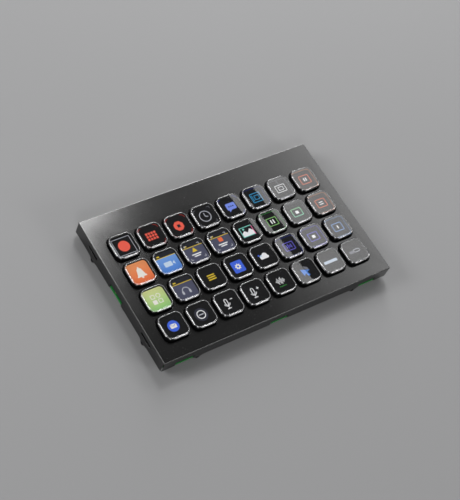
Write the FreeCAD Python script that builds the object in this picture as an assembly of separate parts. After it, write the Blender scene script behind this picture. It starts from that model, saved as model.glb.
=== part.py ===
import FreeCAD, Part
import os

# A desk keypad of thirty-two clear display keys under a folded steel cover. All sizes are in
# millimetres. X runs to the right along the long edge, Y runs away from the user and Z points up.
# The origin is the middle of the footprint, on the underside of the rear tray.

# Key grid
COLUMNS = 8
ROWS = 4
KEY_PITCH = 20.0
KEY_GAP = 2.9
KEY_CORNER = 4.1
KEY_TRAVEL = 1.2
CAP_PROUD = 3.0
CAP_BEVEL = 0.7
CAP_DISH = 0.12
CAP_RIM = 0.35
FLANGE_REACH = 0.85
FLANGE_THICK = 0.7

# Image block glued in each cap, which carries the display's picture up near the cap's top
PICTURE_DEPTH = 2.2
PICTURE_INSET = 0.95
PICTURE_CORNER = 2.6
GLUE_FILM = 0.05
COLUMN_INSET = 1.25
COLUMN_CORNER = 3.0

# Folded steel cover
SHEET = 1.2
SIDE_MARGIN = 8.15
FRONT_MARGIN = 10.15
REAR_MARGIN = 17.15
WALL_DROP = 10.0
BEND_RADIUS = 0.5
SEAM_GAP = 0.5
PLATE_CLEARANCE = 0.55

# Slots, notches and ears of the cover's walls
SLOT_LENGTH = 10.4
SLOT_HEIGHT = 1.9
SLOT_DROP = 4.8
SLOT_INSET = 20.2
NOTCH_DROP = 5.9
SIDE_NOTCH_LENGTH = 14.0
SIDE_NOTCH_SHIFT = 2.65
LONG_NOTCH_LENGTH = 13.3
LONG_NOTCH_INSET = 16.6
EAR_BASE = 7.0
EAR_ROUND = 1.5
EAR_LIFT = 0.2
SIDE_EAR_INSET = 21.7
EAR_NOTCH_GAP = 0.25

# Screws of the ears
EAR_SCREW_RADIUS = 0.6
EAR_HEAD_RADIUS = 1.0
EAR_HEAD_HEIGHT = 0.5
EAR_HEAD_SUNK = 0.1
EAR_SCREW_LENGTH = 4.6
EAR_SOCKET_RADIUS = 0.35
EAR_SOCKET_DEPTH = 0.3
SCREW_CLEARANCE = 0.05

# Frame that guides and retains the keys
GUIDE_THICK = 0.9
GUIDE_CLEARANCE = 0.3
GUIDE_SKIRT = 1.2
FLANGE_ROOM = 0.4
FLANGE_GAP = 0.1
PRESS_GAP = 0.3

# Silicone mat
MAT_THICK = 0.4
BELL_WALL = 0.5
BELL_INSET = 0.7
BELL_SLOPE = 0.4

# Contact board over the display
SWITCH_BOARD_THICK = 0.6
WINDOW_CLEARANCE = 0.5
TAB_WIDTH = 16.0
TAB_REACH = 2.4
SWITCH_FLEX_COLUMN = 2.5

# Display
TAPE_THICK = 0.1
TAPE_WIDTH = 2.4
DISPLAY_BORDER = 3.2
GLASS_THICK = 0.6
LEDGE_DEPTH = 4.0
LIGHT_GUIDE_THICK = 1.0
BACKLIGHT_SHEET = 0.3
LIGHT_GUIDE_CLEARANCE = 0.2
DRIVER_LENGTH = 20.0
DRIVER_WIDTH = 1.2
DRIVER_HEIGHT = 0.3

# Flat cables and their connectors
FLEX_THICK = 0.2
FLEX_BOND = 1.6
FLEX_END = 2.0
DISPLAY_FLEX_WIDTH = 24.0
DISPLAY_FLEX_COLUMN = -2.7
SWITCH_FLEX_WIDTH = 14.0
CONNECTOR_SIDE = 1.6
CONNECTOR_DEPTH = 4.0
CONNECTOR_HEIGHT = 1.2
CONNECTOR_FLOOR = 0.4
CONNECTOR_SHARE = 0.6
FLEX_CLEARANCE = 0.05

# Main board
BOARD_THICK = 1.6
BOARD_CLEARANCE = 0.45
TONGUE_CLEARANCE = 0.45
TONGUE_SUNK = 0.3
BOARD_CORNER = 2.0
PROCESSOR_SIDE = 10.0
PROCESSOR_HEIGHT = 1.0
PROCESSOR_SHARE = (-0.18, 0.22)
MEMORY_LENGTH = 8.0
MEMORY_WIDTH = 6.0
MEMORY_HEIGHT = 0.9
MEMORY_SHARE = (-0.03, 0.24)
DRIVER_CHIP_SIDE = 5.0
DRIVER_CHIP_HEIGHT = 0.8
DRIVER_CHIP_SHARES = ((0.16, 0.62), (0.28, 0.62), (-0.36, 0.22))
CRYSTAL_LENGTH = 3.2
CRYSTAL_WIDTH = 2.5
CRYSTAL_HEIGHT = 0.7
CRYSTAL_SHARE = (-0.26, 0.46)
INDUCTOR_SIDE = 4.0
INDUCTOR_GAP = 0.4
INDUCTOR_SHARES = ((0.06, 0.66), (0.22, 0.3))
CAPACITOR_LENGTH = 1.6
CAPACITOR_WIDTH = 0.8
CAPACITOR_HEIGHT = 0.8
CAPACITOR_PITCH = 2.6
CAPACITOR_COUNT = 8
CAPACITOR_SHARE = (-0.3, 0.02)

# Inlet socket on the board's rear edge
SOCKET_WIDTH = 8.9
SOCKET_HEIGHT = 3.2
SOCKET_LENGTH = 7.3
SOCKET_SHELL = 0.3
SOCKET_CLEARANCE = 0.3
SOCKET_SUNK = 0.2
SOCKET_BACK = 1.2
TONGUE_WIDTH = 6.7
TONGUE_THICK = 0.7
TONGUE_SHORT = 0.6

# Spacers between the cover and the main board, and their screws
SPACER_RADIUS = 1.5
THREAD_CLEARANCE = 0.05
THREAD_ROOM = 0.6
SPACER_COLUMNS = (-3.6, -1.5, 1.5, 3.6)
BOARD_SCREW_RADIUS = 0.7
BOARD_SCREW_REACH = 3.2
BOARD_HEAD_RADIUS = 1.3
BOARD_HEAD_HEIGHT = 0.9
BOARD_RECESS_RADIUS = 0.5
BOARD_RECESS_DEPTH = 0.45
BOARD_HOLE_CLEARANCE = 0.2

# Rear tray
TRAY_FLOOR = 1.2
TRAY_WALL = 1.2
TRAY_INSET = 2.6
TRAY_CORNER = 3.0
PART_ROOM = 2.2
LUG_WIDTH = 6.0
LUG_DEPTH = 5.0
VENT_LENGTH = 24.0
VENT_WIDTH = 2.0
VENT_PITCH = 8.0
VENT_COUNT = 7
VENT_SHIFT = -22.0

# Threaded inserts for mounting
INSERT_SPACING_X = 100.0
INSERT_SPACING_Y = 60.0
INSERT_RADIUS = 2.1
INSERT_BORE = 1.25
INSERT_GAP = 0.2
BOSS_WALL = 0.9

# One overrun serves every cut
OVERRUN = 1.0

# Levels, from the underside of the tray upwards
TRAY_TOP = TRAY_FLOOR + PART_ROOM
BOARD_TOP = TRAY_TOP + BOARD_THICK
GUIDE_LIGHT_LOW = BOARD_TOP + BACKLIGHT_SHEET
GLASS_LOW = GUIDE_LIGHT_LOW + LIGHT_GUIDE_THICK
LEDGE_TOP = GLASS_LOW + GLASS_THICK
GLASS_TOP = LEDGE_TOP + GLASS_THICK
SWITCH_LOW = GLASS_TOP + TAPE_THICK
SWITCH_TOP = SWITCH_LOW + SWITCH_BOARD_THICK
MAT_TOP = SWITCH_TOP + MAT_THICK
FLANGE_LOW = MAT_TOP + PRESS_GAP + KEY_TRAVEL
FLANGE_TOP = FLANGE_LOW + FLANGE_THICK
GUIDE_LOW = FLANGE_TOP + FLANGE_GAP
PLATE_LOW = GUIDE_LOW + GUIDE_THICK
PLATE_TOP = PLATE_LOW + SHEET
CAP_TOP = PLATE_TOP + CAP_PROUD
PICTURE_TOP = CAP_TOP - PICTURE_DEPTH
COLUMN_LOW = GLASS_TOP + PRESS_GAP + KEY_TRAVEL
WALL_LOW = PLATE_TOP - WALL_DROP
NOTCH_TOP = PLATE_TOP - NOTCH_DROP
SLOT_MIDDLE = PLATE_TOP - SLOT_DROP
EAR_HOLE_LEVEL = EAR_LIFT + EAR_ROUND

# Plan sizes that follow from the grid
KEY_SIDE = KEY_PITCH - KEY_GAP
PICTURE_SIDE = KEY_SIDE - 2 * PICTURE_INSET
COLUMN_SIDE = KEY_SIDE - 2 * COLUMN_INSET
GRID_WIDTH = (COLUMNS - 1) * KEY_PITCH
GRID_DEPTH = (ROWS - 1) * KEY_PITCH
PLATE_WINDOW = KEY_SIDE + 2 * PLATE_CLEARANCE
PLATE_WINDOW_CORNER = KEY_CORNER + PLATE_CLEARANCE
GUIDE_WINDOW = KEY_SIDE + 2 * GUIDE_CLEARANCE
GUIDE_WINDOW_CORNER = KEY_CORNER + GUIDE_CLEARANCE
FLANGE_SIDE = KEY_SIDE + 2 * FLANGE_REACH
LIGHT_WINDOW = COLUMN_SIDE + 2 * WINDOW_CLEARANCE
LIGHT_WINDOW_CORNER = COLUMN_CORNER + WINDOW_CLEARANCE
PLATE_WIDTH = GRID_WIDTH + PLATE_WINDOW + 2 * SIDE_MARGIN
PLATE_DEPTH = GRID_DEPTH + PLATE_WINDOW + FRONT_MARGIN + REAR_MARGIN
GRID_Y = (FRONT_MARGIN - REAR_MARGIN) / 2
CAVITY_WIDTH = GRID_WIDTH + FLANGE_SIDE + 2 * FLANGE_ROOM
CAVITY_DEPTH = GRID_DEPTH + FLANGE_SIDE + 2 * FLANGE_ROOM
GUIDE_WIDTH = CAVITY_WIDTH + 2 * GUIDE_SKIRT
GUIDE_DEPTH = CAVITY_DEPTH + 2 * GUIDE_SKIRT
DISPLAY_WIDTH = GRID_WIDTH + COLUMN_SIDE + 2 * DISPLAY_BORDER
DISPLAY_DEPTH = GRID_DEPTH + COLUMN_SIDE + 2 * DISPLAY_BORDER
DISPLAY_REAR = GRID_Y + DISPLAY_DEPTH / 2
LEDGE_REAR = DISPLAY_REAR + LEDGE_DEPTH
GUIDE_FRONT = GRID_Y - GUIDE_DEPTH / 2
GUIDE_REAR = GRID_Y + GUIDE_DEPTH / 2
INNER_WIDTH = PLATE_WIDTH - 2 * SHEET
INNER_DEPTH = PLATE_DEPTH - 2 * SHEET
BOARD_WIDTH = INNER_WIDTH - 2 * BOARD_CLEARANCE
BOARD_DEPTH = INNER_DEPTH - 2 * BOARD_CLEARANCE
TRAY_WIDTH = PLATE_WIDTH - 2 * TRAY_INSET
TRAY_DEPTH = PLATE_DEPTH - 2 * TRAY_INSET
TRAY_ROOM_WIDTH = TRAY_WIDTH - 2 * TRAY_WALL
TRAY_ROOM_DEPTH = TRAY_DEPTH - 2 * TRAY_WALL
SPACER_FRONT = (GUIDE_FRONT - TRAY_ROOM_DEPTH / 2) / 2
SPACER_REAR = (LEDGE_REAR + TRAY_ROOM_DEPTH / 2) / 2
CONNECTOR_ROOM = BOARD_DEPTH / 2 - CONNECTOR_DEPTH - LEDGE_REAR
CONNECTOR_FRONT = LEDGE_REAR + CONNECTOR_SHARE * CONNECTOR_ROOM
CONNECTOR_REAR = CONNECTOR_FRONT + CONNECTOR_DEPTH

# The front wall's frame is carried round to the other three, a quarter turn at a time
WALLS = ("front", "right", "back", "left")
WALL_FEET = {
    "front": (0, -PLATE_DEPTH / 2),
    "right": (PLATE_WIDTH / 2, 0),
    "back": (0, PLATE_DEPTH / 2),
    "left": (-PLATE_WIDTH / 2, 0),
}
SIDE_EAR = PLATE_DEPTH / 2 - SIDE_EAR_INSET
LONG_NOTCH = PLATE_WIDTH / 2 - LONG_NOTCH_INSET
LONG_EAR = LONG_NOTCH - (LONG_NOTCH_LENGTH + EAR_BASE) / 2 - EAR_NOTCH_GAP
SIDE_SLOT = PLATE_DEPTH / 2 - SLOT_INSET
EARS = {
    "front": (-LONG_EAR, LONG_EAR),
    "right": (-SIDE_EAR, SIDE_EAR),
    "back": (-LONG_EAR, LONG_EAR),
    "left": (-SIDE_EAR, SIDE_EAR),
}
NOTCHES = {
    "front": ((-LONG_NOTCH, LONG_NOTCH_LENGTH), (0, LONG_NOTCH_LENGTH), (LONG_NOTCH, LONG_NOTCH_LENGTH)),
    "right": ((SIDE_NOTCH_SHIFT, SIDE_NOTCH_LENGTH),),
    "back": ((-LONG_NOTCH, LONG_NOTCH_LENGTH), (LONG_NOTCH, LONG_NOTCH_LENGTH)),
    "left": ((-SIDE_NOTCH_SHIFT, SIDE_NOTCH_LENGTH),),
}
SLOTS = {
    "right": (-SIDE_SLOT, SIDE_SLOT),
    "left": (-SIDE_SLOT, SIDE_SLOT),
}


def vector(x, y, z):
    return FreeCAD.Vector(x, y, z)


def box(x0, x1, y0, y1, z0, z1):
    """A block between two opposite corners."""
    return Part.makeBox(x1 - x0, y1 - y0, z1 - z0, vector(x0, y0, z0))


def centred_box(x, y, width, depth, z0, z1):
    """A block that stands over a point."""
    return box(x - width / 2, x + width / 2, y - depth / 2, y + depth / 2, z0, z1)


def drum(x, y, radius, z0, z1):
    """An upright cylinder."""
    return Part.makeCylinder(radius, z1 - z0, vector(x, y, z0))


def rounded_wire(x, y, width, depth, radius, z):
    """A rectangle with round corners, as lines and quarter arcs."""
    half_x = width / 2
    half_y = depth / 2
    diagonal = radius * (1 - 0.5 ** 0.5)
    edges = []
    for turn in range(4):
        across, along = (half_x, half_y) if turn % 2 == 0 else (half_y, half_x)
        side = Part.LineSegment(
            vector(across, radius - along, z),
            vector(across, along - radius, z),
        )
        corner = Part.Arc(
            vector(across, along - radius, z),
            vector(across - diagonal, along - diagonal, z),
            vector(across - radius, along, z),
        )
        for curve in (side, corner):
            edge = curve.toShape()
            edge.rotate(vector(0, 0, 0), vector(0, 0, 1), 90 * turn)
            edges.append(edge)
    wire = Part.Wire(edges)
    wire.translate(vector(x, y, 0))
    return wire


def rounded_block(x, y, width, depth, radius, z0, z1):
    """An upright block with round vertical edges."""
    face = Part.Face(rounded_wire(x, y, width, depth, radius, z0))
    return face.extrude(vector(0, 0, z1 - z0))


def on_wall(shape, side):
    """Carries a shape made against the plane y = 0, inward along +Y, to one of the four walls."""
    x, y = WALL_FEET[side]
    moved = shape.copy()
    moved.rotate(vector(0, 0, 0), vector(0, 0, 1), 90 * WALLS.index(side))
    moved.translate(vector(x, y, 0))
    return moved


def grid_places():
    """Row, column and centre of each key, from the rear left key."""
    places = []
    for row in range(ROWS):
        for column in range(COLUMNS):
            x = (column - (COLUMNS - 1) / 2) * KEY_PITCH
            y = GRID_Y + ((ROWS - 1) / 2 - row) * KEY_PITCH
            places.append((row, column, x, y))
    return places


def grid_of(side, corner, z0, z1):
    """One rounded block at each key's place, for the windows."""
    return [
        rounded_block(x, y, side, side, corner, z0, z1)
        for row, column, x, y in grid_places()
    ]


def spacer_places():
    """Centres of the spacers, in a front row and a rear row."""
    return [
        (column * KEY_PITCH, y)
        for y in (SPACER_FRONT, SPACER_REAR)
        for column in SPACER_COLUMNS
    ]


def insert_places():
    """Corners of the mounting pattern."""
    return [
        (x * INSERT_SPACING_X / 2, y * INSERT_SPACING_Y / 2)
        for x in (-1, 1)
        for y in (-1, 1)
    ]


def under_board(share, width, depth, height):
    """A part soldered to the main board's underside, at a share of the board's half size."""
    x = share[0] * BOARD_WIDTH / 2
    y = share[1] * BOARD_DEPTH / 2
    return centred_box(x, y, width, depth, TRAY_TOP - height, TRAY_TOP)


def ear_outline():
    """An ear of a wall: a tab with sloping sides and a round end."""
    low = vector(0, 0, EAR_LIFT)
    left_top = vector(-EAR_BASE / 2, 0, WALL_LOW)
    right_top = vector(EAR_BASE / 2, 0, WALL_LOW)
    left_low = vector(-EAR_ROUND, 0, EAR_HOLE_LEVEL)
    right_low = vector(EAR_ROUND, 0, EAR_HOLE_LEVEL)
    left_high = vector(-EAR_BASE / 2, 0, NOTCH_TOP)
    right_high = vector(EAR_BASE / 2, 0, NOTCH_TOP)
    edges = [
        Part.LineSegment(left_high, left_top).toShape(),
        Part.LineSegment(left_top, left_low).toShape(),
        Part.Arc(left_low, low, right_low).toShape(),
        Part.LineSegment(right_low, right_top).toShape(),
        Part.LineSegment(right_top, right_high).toShape(),
        Part.LineSegment(right_high, left_high).toShape(),
    ]
    return Part.Wire(edges)


def ear(place):
    """The tab itself, one sheet thick."""
    tab = Part.Face(ear_outline()).extrude(vector(0, SHEET, 0))
    tab.translate(vector(place, 0, 0))
    return tab


def ear_bore(place, radius, y0, y1):
    """A level cylinder through an ear, inward from the wall's face."""
    return Part.makeCylinder(radius, y1 - y0, vector(place, y0, EAR_HOLE_LEVEL), vector(0, 1, 0))


def ear_sink(place, clearance):
    """The cone of a countersunk head, from the wall's face inward."""
    return Part.makeCone(
        EAR_HEAD_RADIUS + clearance,
        EAR_SCREW_RADIUS + clearance,
        EAR_HEAD_HEIGHT,
        vector(place, EAR_HEAD_SUNK, EAR_HOLE_LEVEL),
        vector(0, 1, 0),
    )


def faceplate():
    """The folded cover: a flat top with thirty-two windows and four walls."""
    half_x = PLATE_WIDTH / 2
    half_y = PLATE_DEPTH / 2
    shell = box(-half_x, half_x, -half_y, half_y, WALL_LOW, PLATE_TOP)
    bends = [
        edge
        for edge in shell.Edges
        if edge.BoundBox.ZMin > PLATE_TOP - BEND_RADIUS
    ]
    shell = shell.makeFillet(BEND_RADIUS, bends)
    room = centred_box(0, 0, INNER_WIDTH, INNER_DEPTH, WALL_LOW - OVERRUN, PLATE_LOW)
    shell = shell.cut(room)
    shell = shell.cut(grid_of(PLATE_WINDOW, PLATE_WINDOW_CORNER, PLATE_LOW - OVERRUN, PLATE_TOP + OVERRUN))
    shell = shell.fuse([on_wall(ear(place), side) for side in EARS for place in EARS[side]])
    shell = shell.cut(corner_seams() + wall_cuts())
    return shell.removeSplitter()


def corner_seams():
    """Upright gaps where the folded walls meet, under the flat top."""
    reach = 2 * SHEET
    tools = []
    for x in (-1, 1):
        for y in (-1, 1):
            seam = box(-reach, reach, -SEAM_GAP / 2, SEAM_GAP / 2, WALL_LOW - OVERRUN, PLATE_LOW)
            seam.rotate(vector(0, 0, 0), vector(0, 0, 1), 45 * x * y)
            seam.translate(vector(x * PLATE_WIDTH / 2, y * PLATE_DEPTH / 2, 0))
            tools.append(seam)
    return tools


def wall_cuts():
    """Notches, slots, ear holes and the socket's opening."""
    tools = []
    for side in NOTCHES:
        for place, length in NOTCHES[side]:
            notch = box(
                place - length / 2,
                place + length / 2,
                -OVERRUN,
                SHEET + OVERRUN,
                WALL_LOW - OVERRUN,
                NOTCH_TOP,
            )
            tools.append(on_wall(notch, side))
    for side in SLOTS:
        for place in SLOTS[side]:
            slot = box(
                place - SLOT_LENGTH / 2,
                place + SLOT_LENGTH / 2,
                -OVERRUN,
                SHEET + OVERRUN,
                SLOT_MIDDLE - SLOT_HEIGHT / 2,
                SLOT_MIDDLE + SLOT_HEIGHT / 2,
            )
            tools.append(on_wall(slot, side))
    for side in EARS:
        for place in EARS[side]:
            radius = EAR_SCREW_RADIUS + SCREW_CLEARANCE
            mouth = EAR_HEAD_RADIUS + SCREW_CLEARANCE
            tools.append(on_wall(ear_bore(place, radius, -OVERRUN, SHEET + OVERRUN), side))
            tools.append(on_wall(ear_bore(place, mouth, -OVERRUN, EAR_HEAD_SUNK), side))
            tools.append(on_wall(ear_sink(place, SCREW_CLEARANCE), side))
    tools.append(socket_opening())
    return tools


def socket_opening():
    """A round-ended opening in the back wall, in front of the inlet socket."""
    height = SOCKET_HEIGHT + 2 * SOCKET_CLEARANCE
    width = SOCKET_WIDTH + 2 * SOCKET_CLEARANCE
    tool = rounded_block(0, 0, width, height, height / 2 - SOCKET_SHELL, -OVERRUN, SHEET + OVERRUN)
    tool.rotate(vector(0, 0, 0), vector(1, 0, 0), -90)
    tool.translate(vector(0, 0, BOARD_TOP + SOCKET_HEIGHT / 2))
    return on_wall(tool, "back")


def image_block():
    """The block glued in one cap, whose foot stands over the display."""
    head = rounded_block(0, 0, PICTURE_SIDE, PICTURE_SIDE, PICTURE_CORNER, FLANGE_LOW, PICTURE_TOP)
    foot = rounded_block(0, 0, COLUMN_SIDE, COLUMN_SIDE, COLUMN_CORNER, COLUMN_LOW, FLANGE_LOW)
    return head.fuse(foot).removeSplitter()


def clear_cap():
    """One clear cap: bevelled, with a shallow dish, a retaining flange and the image block's pocket."""
    cap = rounded_block(0, 0, KEY_SIDE, KEY_SIDE, KEY_CORNER, FLANGE_LOW, CAP_TOP)
    rim = [
        edge
        for edge in cap.Edges
        if edge.BoundBox.ZMin > CAP_TOP - CAP_BEVEL
    ]
    cap = cap.makeChamfer(CAP_BEVEL, rim)
    reach = KEY_SIDE / 2 - CAP_BEVEL - CAP_RIM
    radius = (reach * reach + CAP_DISH * CAP_DISH) / (2 * CAP_DISH)
    ball = Part.makeSphere(radius)
    ball.rotate(vector(0, 0, 0), vector(1, 0, 0), 90)
    ball.translate(vector(0, 0, CAP_TOP - CAP_DISH + radius))
    cap = cap.cut(ball)
    corner = KEY_CORNER + FLANGE_REACH
    flange = rounded_block(0, 0, FLANGE_SIDE, FLANGE_SIDE, corner, FLANGE_LOW, FLANGE_TOP)
    side = PICTURE_SIDE + 2 * GLUE_FILM
    corner = PICTURE_CORNER + GLUE_FILM
    pocket = rounded_block(0, 0, side, side, corner, FLANGE_LOW - OVERRUN, PICTURE_TOP + GLUE_FILM)
    return cap.fuse(flange).cut(pocket).removeSplitter()


def key():
    """One key: the clear cap with its image block."""
    return Part.makeCompound([clear_cap(), image_block()])


def guide_frame():
    """The frame glued under the cover, with a window for each key and a skirt round them all."""
    corner = KEY_CORNER + FLANGE_REACH + FLANGE_ROOM
    outer = corner + GUIDE_SKIRT
    frame = rounded_block(0, GRID_Y, GUIDE_WIDTH, GUIDE_DEPTH, outer, MAT_TOP, PLATE_LOW)
    cavity = rounded_block(0, GRID_Y, CAVITY_WIDTH, CAVITY_DEPTH, corner, MAT_TOP - OVERRUN, GUIDE_LOW)
    windows = grid_of(GUIDE_WINDOW, GUIDE_WINDOW_CORNER, GUIDE_LOW - OVERRUN, PLATE_LOW + OVERRUN)
    return frame.cut([cavity] + windows)


def bell():
    """A sloping collar of the mat, which lifts one key by its flange."""
    head = FLANGE_SIDE - 2 * BELL_INSET
    foot = head + 2 * BELL_SLOPE
    wall = 2 * BELL_WALL
    head_corner = KEY_CORNER + FLANGE_REACH - BELL_INSET
    foot_corner = head_corner + BELL_SLOPE
    outer = Part.makeLoft(
        [
            rounded_wire(0, 0, foot, foot, foot_corner, MAT_TOP),
            rounded_wire(0, 0, head, head, head_corner, FLANGE_LOW),
        ],
        True,
        True,
    )
    inner = Part.makeLoft(
        [
            rounded_wire(0, 0, foot - wall, foot - wall, foot_corner - BELL_WALL, MAT_TOP),
            rounded_wire(0, 0, head - wall, head - wall, head_corner - BELL_WALL, FLANGE_LOW),
        ],
        True,
        True,
    )
    return outer.cut(inner)


def key_mat():
    """The silicone mat: a thin sheet with a window and a collar for each key."""
    corner = KEY_CORNER + FLANGE_REACH + FLANGE_ROOM + GUIDE_SKIRT
    sheet = rounded_block(0, GRID_Y, GUIDE_WIDTH, GUIDE_DEPTH, corner, SWITCH_TOP, MAT_TOP)
    sheet = sheet.cut(grid_of(LIGHT_WINDOW, LIGHT_WINDOW_CORNER, SWITCH_TOP - OVERRUN, MAT_TOP + OVERRUN))
    collar = bell()
    collars = []
    for row, column, x, y in grid_places():
        copy = collar.copy()
        copy.translate(vector(x, y, 0))
        collars.append(copy)
    return sheet.fuse(collars)


def switch_board():
    """The thin contact board between the mat and the display, with a tab for its flat cable."""
    corner = KEY_CORNER + FLANGE_REACH + FLANGE_ROOM + GUIDE_SKIRT
    board = rounded_block(0, GRID_Y, GUIDE_WIDTH, GUIDE_DEPTH, corner, SWITCH_LOW, SWITCH_TOP)
    x = SWITCH_FLEX_COLUMN * KEY_PITCH
    tab = box(x - TAB_WIDTH / 2, x + TAB_WIDTH / 2, GRID_Y, GUIDE_REAR + TAB_REACH, SWITCH_LOW, SWITCH_TOP)
    board = board.fuse(tab)
    windows = grid_of(LIGHT_WINDOW, LIGHT_WINDOW_CORNER, SWITCH_LOW - OVERRUN, SWITCH_TOP + OVERRUN)
    return board.cut(windows).removeSplitter()


def display_tape():
    """The adhesive frame between the display and the contact board."""
    outer = centred_box(0, GRID_Y, DISPLAY_WIDTH, DISPLAY_DEPTH, GLASS_TOP, SWITCH_LOW)
    width = DISPLAY_WIDTH - 2 * TAPE_WIDTH
    depth = DISPLAY_DEPTH - 2 * TAPE_WIDTH
    inner = centred_box(0, GRID_Y, width, depth, GLASS_TOP - OVERRUN, SWITCH_LOW + OVERRUN)
    return outer.cut(inner)


def display_glass():
    """The display's two glass sheets, the lower one longer at the rear for its connections."""
    upper = centred_box(0, GRID_Y, DISPLAY_WIDTH, DISPLAY_DEPTH, GLASS_LOW, GLASS_TOP)
    half = DISPLAY_WIDTH / 2
    ledge = box(-half, half, GRID_Y, LEDGE_REAR, GLASS_LOW, LEDGE_TOP)
    return upper.fuse(ledge).removeSplitter()


def display_driver():
    """The long driver chip on the ledge of the display's glass."""
    y = (DISPLAY_REAR + LEDGE_REAR) / 2
    return centred_box(0, y, DRIVER_LENGTH, DRIVER_WIDTH, LEDGE_TOP, LEDGE_TOP + DRIVER_HEIGHT)


def light_guide():
    """The clear sheet that spreads the light behind the display."""
    inset = 2 * (BACKLIGHT_SHEET + LIGHT_GUIDE_CLEARANCE)
    return centred_box(
        0,
        GRID_Y,
        DISPLAY_WIDTH - inset,
        DISPLAY_DEPTH - inset,
        GUIDE_LIGHT_LOW,
        GLASS_LOW,
    )


def backlight_tray():
    """The thin metal tray that holds the light guide."""
    tray = centred_box(0, GRID_Y, DISPLAY_WIDTH, DISPLAY_DEPTH, BOARD_TOP, GLASS_LOW)
    inset = 2 * BACKLIGHT_SHEET
    room = centred_box(
        0,
        GRID_Y,
        DISPLAY_WIDTH - inset,
        DISPLAY_DEPTH - inset,
        GUIDE_LIGHT_LOW,
        GLASS_LOW + OVERRUN,
    )
    return tray.cut(room)


def flat_cable(x, width, start_y, start_z):
    """A flat cable bonded at its start, which slopes down and enters a connector."""
    end_z = BOARD_TOP + CONNECTOR_FLOOR + FLEX_CLEARANCE
    end_y = CONNECTOR_FRONT + FLEX_END
    lead = CONNECTOR_FRONT - FLEX_BOND / 2
    points = [
        (start_y - FLEX_BOND, start_z),
        (start_y, start_z),
        (lead, end_z),
        (end_y, end_z),
        (end_y, end_z + FLEX_THICK),
        (lead, end_z + FLEX_THICK),
        (start_y, start_z + FLEX_THICK),
        (start_y - FLEX_BOND, start_z + FLEX_THICK),
    ]
    corners = [vector(x - width / 2, y, z) for y, z in points]
    outline = Part.makePolygon(corners + corners[:1])
    return Part.Face(outline).extrude(vector(width, 0, 0))


def flat_connector(x, width):
    """A flat cable's connector on the main board's rear margin."""
    half = width / 2 + CONNECTOR_SIDE
    top = BOARD_TOP + CONNECTOR_HEIGHT
    body = box(x - half, x + half, CONNECTOR_FRONT, CONNECTOR_REAR, BOARD_TOP, top)
    slot_half = width / 2 + FLEX_CLEARANCE
    slot_low = BOARD_TOP + CONNECTOR_FLOOR
    slot = box(
        x - slot_half,
        x + slot_half,
        CONNECTOR_FRONT - OVERRUN,
        CONNECTOR_FRONT + FLEX_END + FLEX_CLEARANCE,
        slot_low,
        slot_low + FLEX_THICK + 2 * FLEX_CLEARANCE,
    )
    return body.cut(slot)


def display_flex():
    x = DISPLAY_FLEX_COLUMN * KEY_PITCH
    return flat_cable(x, DISPLAY_FLEX_WIDTH, LEDGE_REAR, LEDGE_TOP)


def display_connector():
    return flat_connector(DISPLAY_FLEX_COLUMN * KEY_PITCH, DISPLAY_FLEX_WIDTH)


def switch_flex():
    x = SWITCH_FLEX_COLUMN * KEY_PITCH
    return flat_cable(x, SWITCH_FLEX_WIDTH, GUIDE_REAR + TAB_REACH, SWITCH_TOP)


def switch_connector():
    return flat_connector(SWITCH_FLEX_COLUMN * KEY_PITCH, SWITCH_FLEX_WIDTH)


def main_board():
    """The main circuit board, with tongues that reach into the notches of the walls."""
    board = rounded_block(0, 0, BOARD_WIDTH, BOARD_DEPTH, BOARD_CORNER, TRAY_TOP, BOARD_TOP)
    tongues = []
    for side in NOTCHES:
        for place, length in NOTCHES[side]:
            half = length / 2 - TONGUE_CLEARANCE
            root = SHEET + BOARD_CLEARANCE + BOARD_CORNER
            tongue = box(place - half, place + half, TONGUE_SUNK, root, TRAY_TOP, BOARD_TOP)
            tongues.append(on_wall(tongue, side))
    board = board.fuse(tongues)
    radius = BOARD_SCREW_RADIUS + BOARD_HOLE_CLEARANCE
    holes = [drum(x, y, radius, TRAY_TOP - OVERRUN, BOARD_TOP + OVERRUN) for x, y in spacer_places()]
    return board.cut(holes).removeSplitter()


def processor():
    return under_board(PROCESSOR_SHARE, PROCESSOR_SIDE, PROCESSOR_SIDE, PROCESSOR_HEIGHT)


def memory_chip():
    return under_board(MEMORY_SHARE, MEMORY_LENGTH, MEMORY_WIDTH, MEMORY_HEIGHT)


def driver_chips():
    """The small square chips that drive the keys, the light and the inlet."""
    return Part.makeCompound(
        [
            under_board(share, DRIVER_CHIP_SIDE, DRIVER_CHIP_SIDE, DRIVER_CHIP_HEIGHT)
            for share in DRIVER_CHIP_SHARES
        ]
    )


def crystal():
    return under_board(CRYSTAL_SHARE, CRYSTAL_LENGTH, CRYSTAL_WIDTH, CRYSTAL_HEIGHT)


def power_inductors():
    """Square coils of the supply, which nearly fill the room under the board."""
    height = PART_ROOM - INDUCTOR_GAP
    return Part.makeCompound(
        [under_board(share, INDUCTOR_SIDE, INDUCTOR_SIDE, height) for share in INDUCTOR_SHARES]
    )


def capacitors():
    """A row of small capacitors."""
    first = under_board(CAPACITOR_SHARE, CAPACITOR_LENGTH, CAPACITOR_WIDTH, CAPACITOR_HEIGHT)
    row = []
    for step in range(CAPACITOR_COUNT):
        copy = first.copy()
        copy.translate(vector(step * CAPACITOR_PITCH, 0, 0))
        row.append(copy)
    return Part.makeCompound(row)


def socket_block(width, height, radius, y0, y1):
    """A round-ended block along Y on the socket's axis."""
    body = rounded_block(0, 0, width, height, radius, y0, y1)
    body.rotate(vector(0, 0, 0), vector(1, 0, 0), -90)
    body.translate(vector(0, 0, BOARD_TOP + SOCKET_HEIGHT / 2))
    return body


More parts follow.
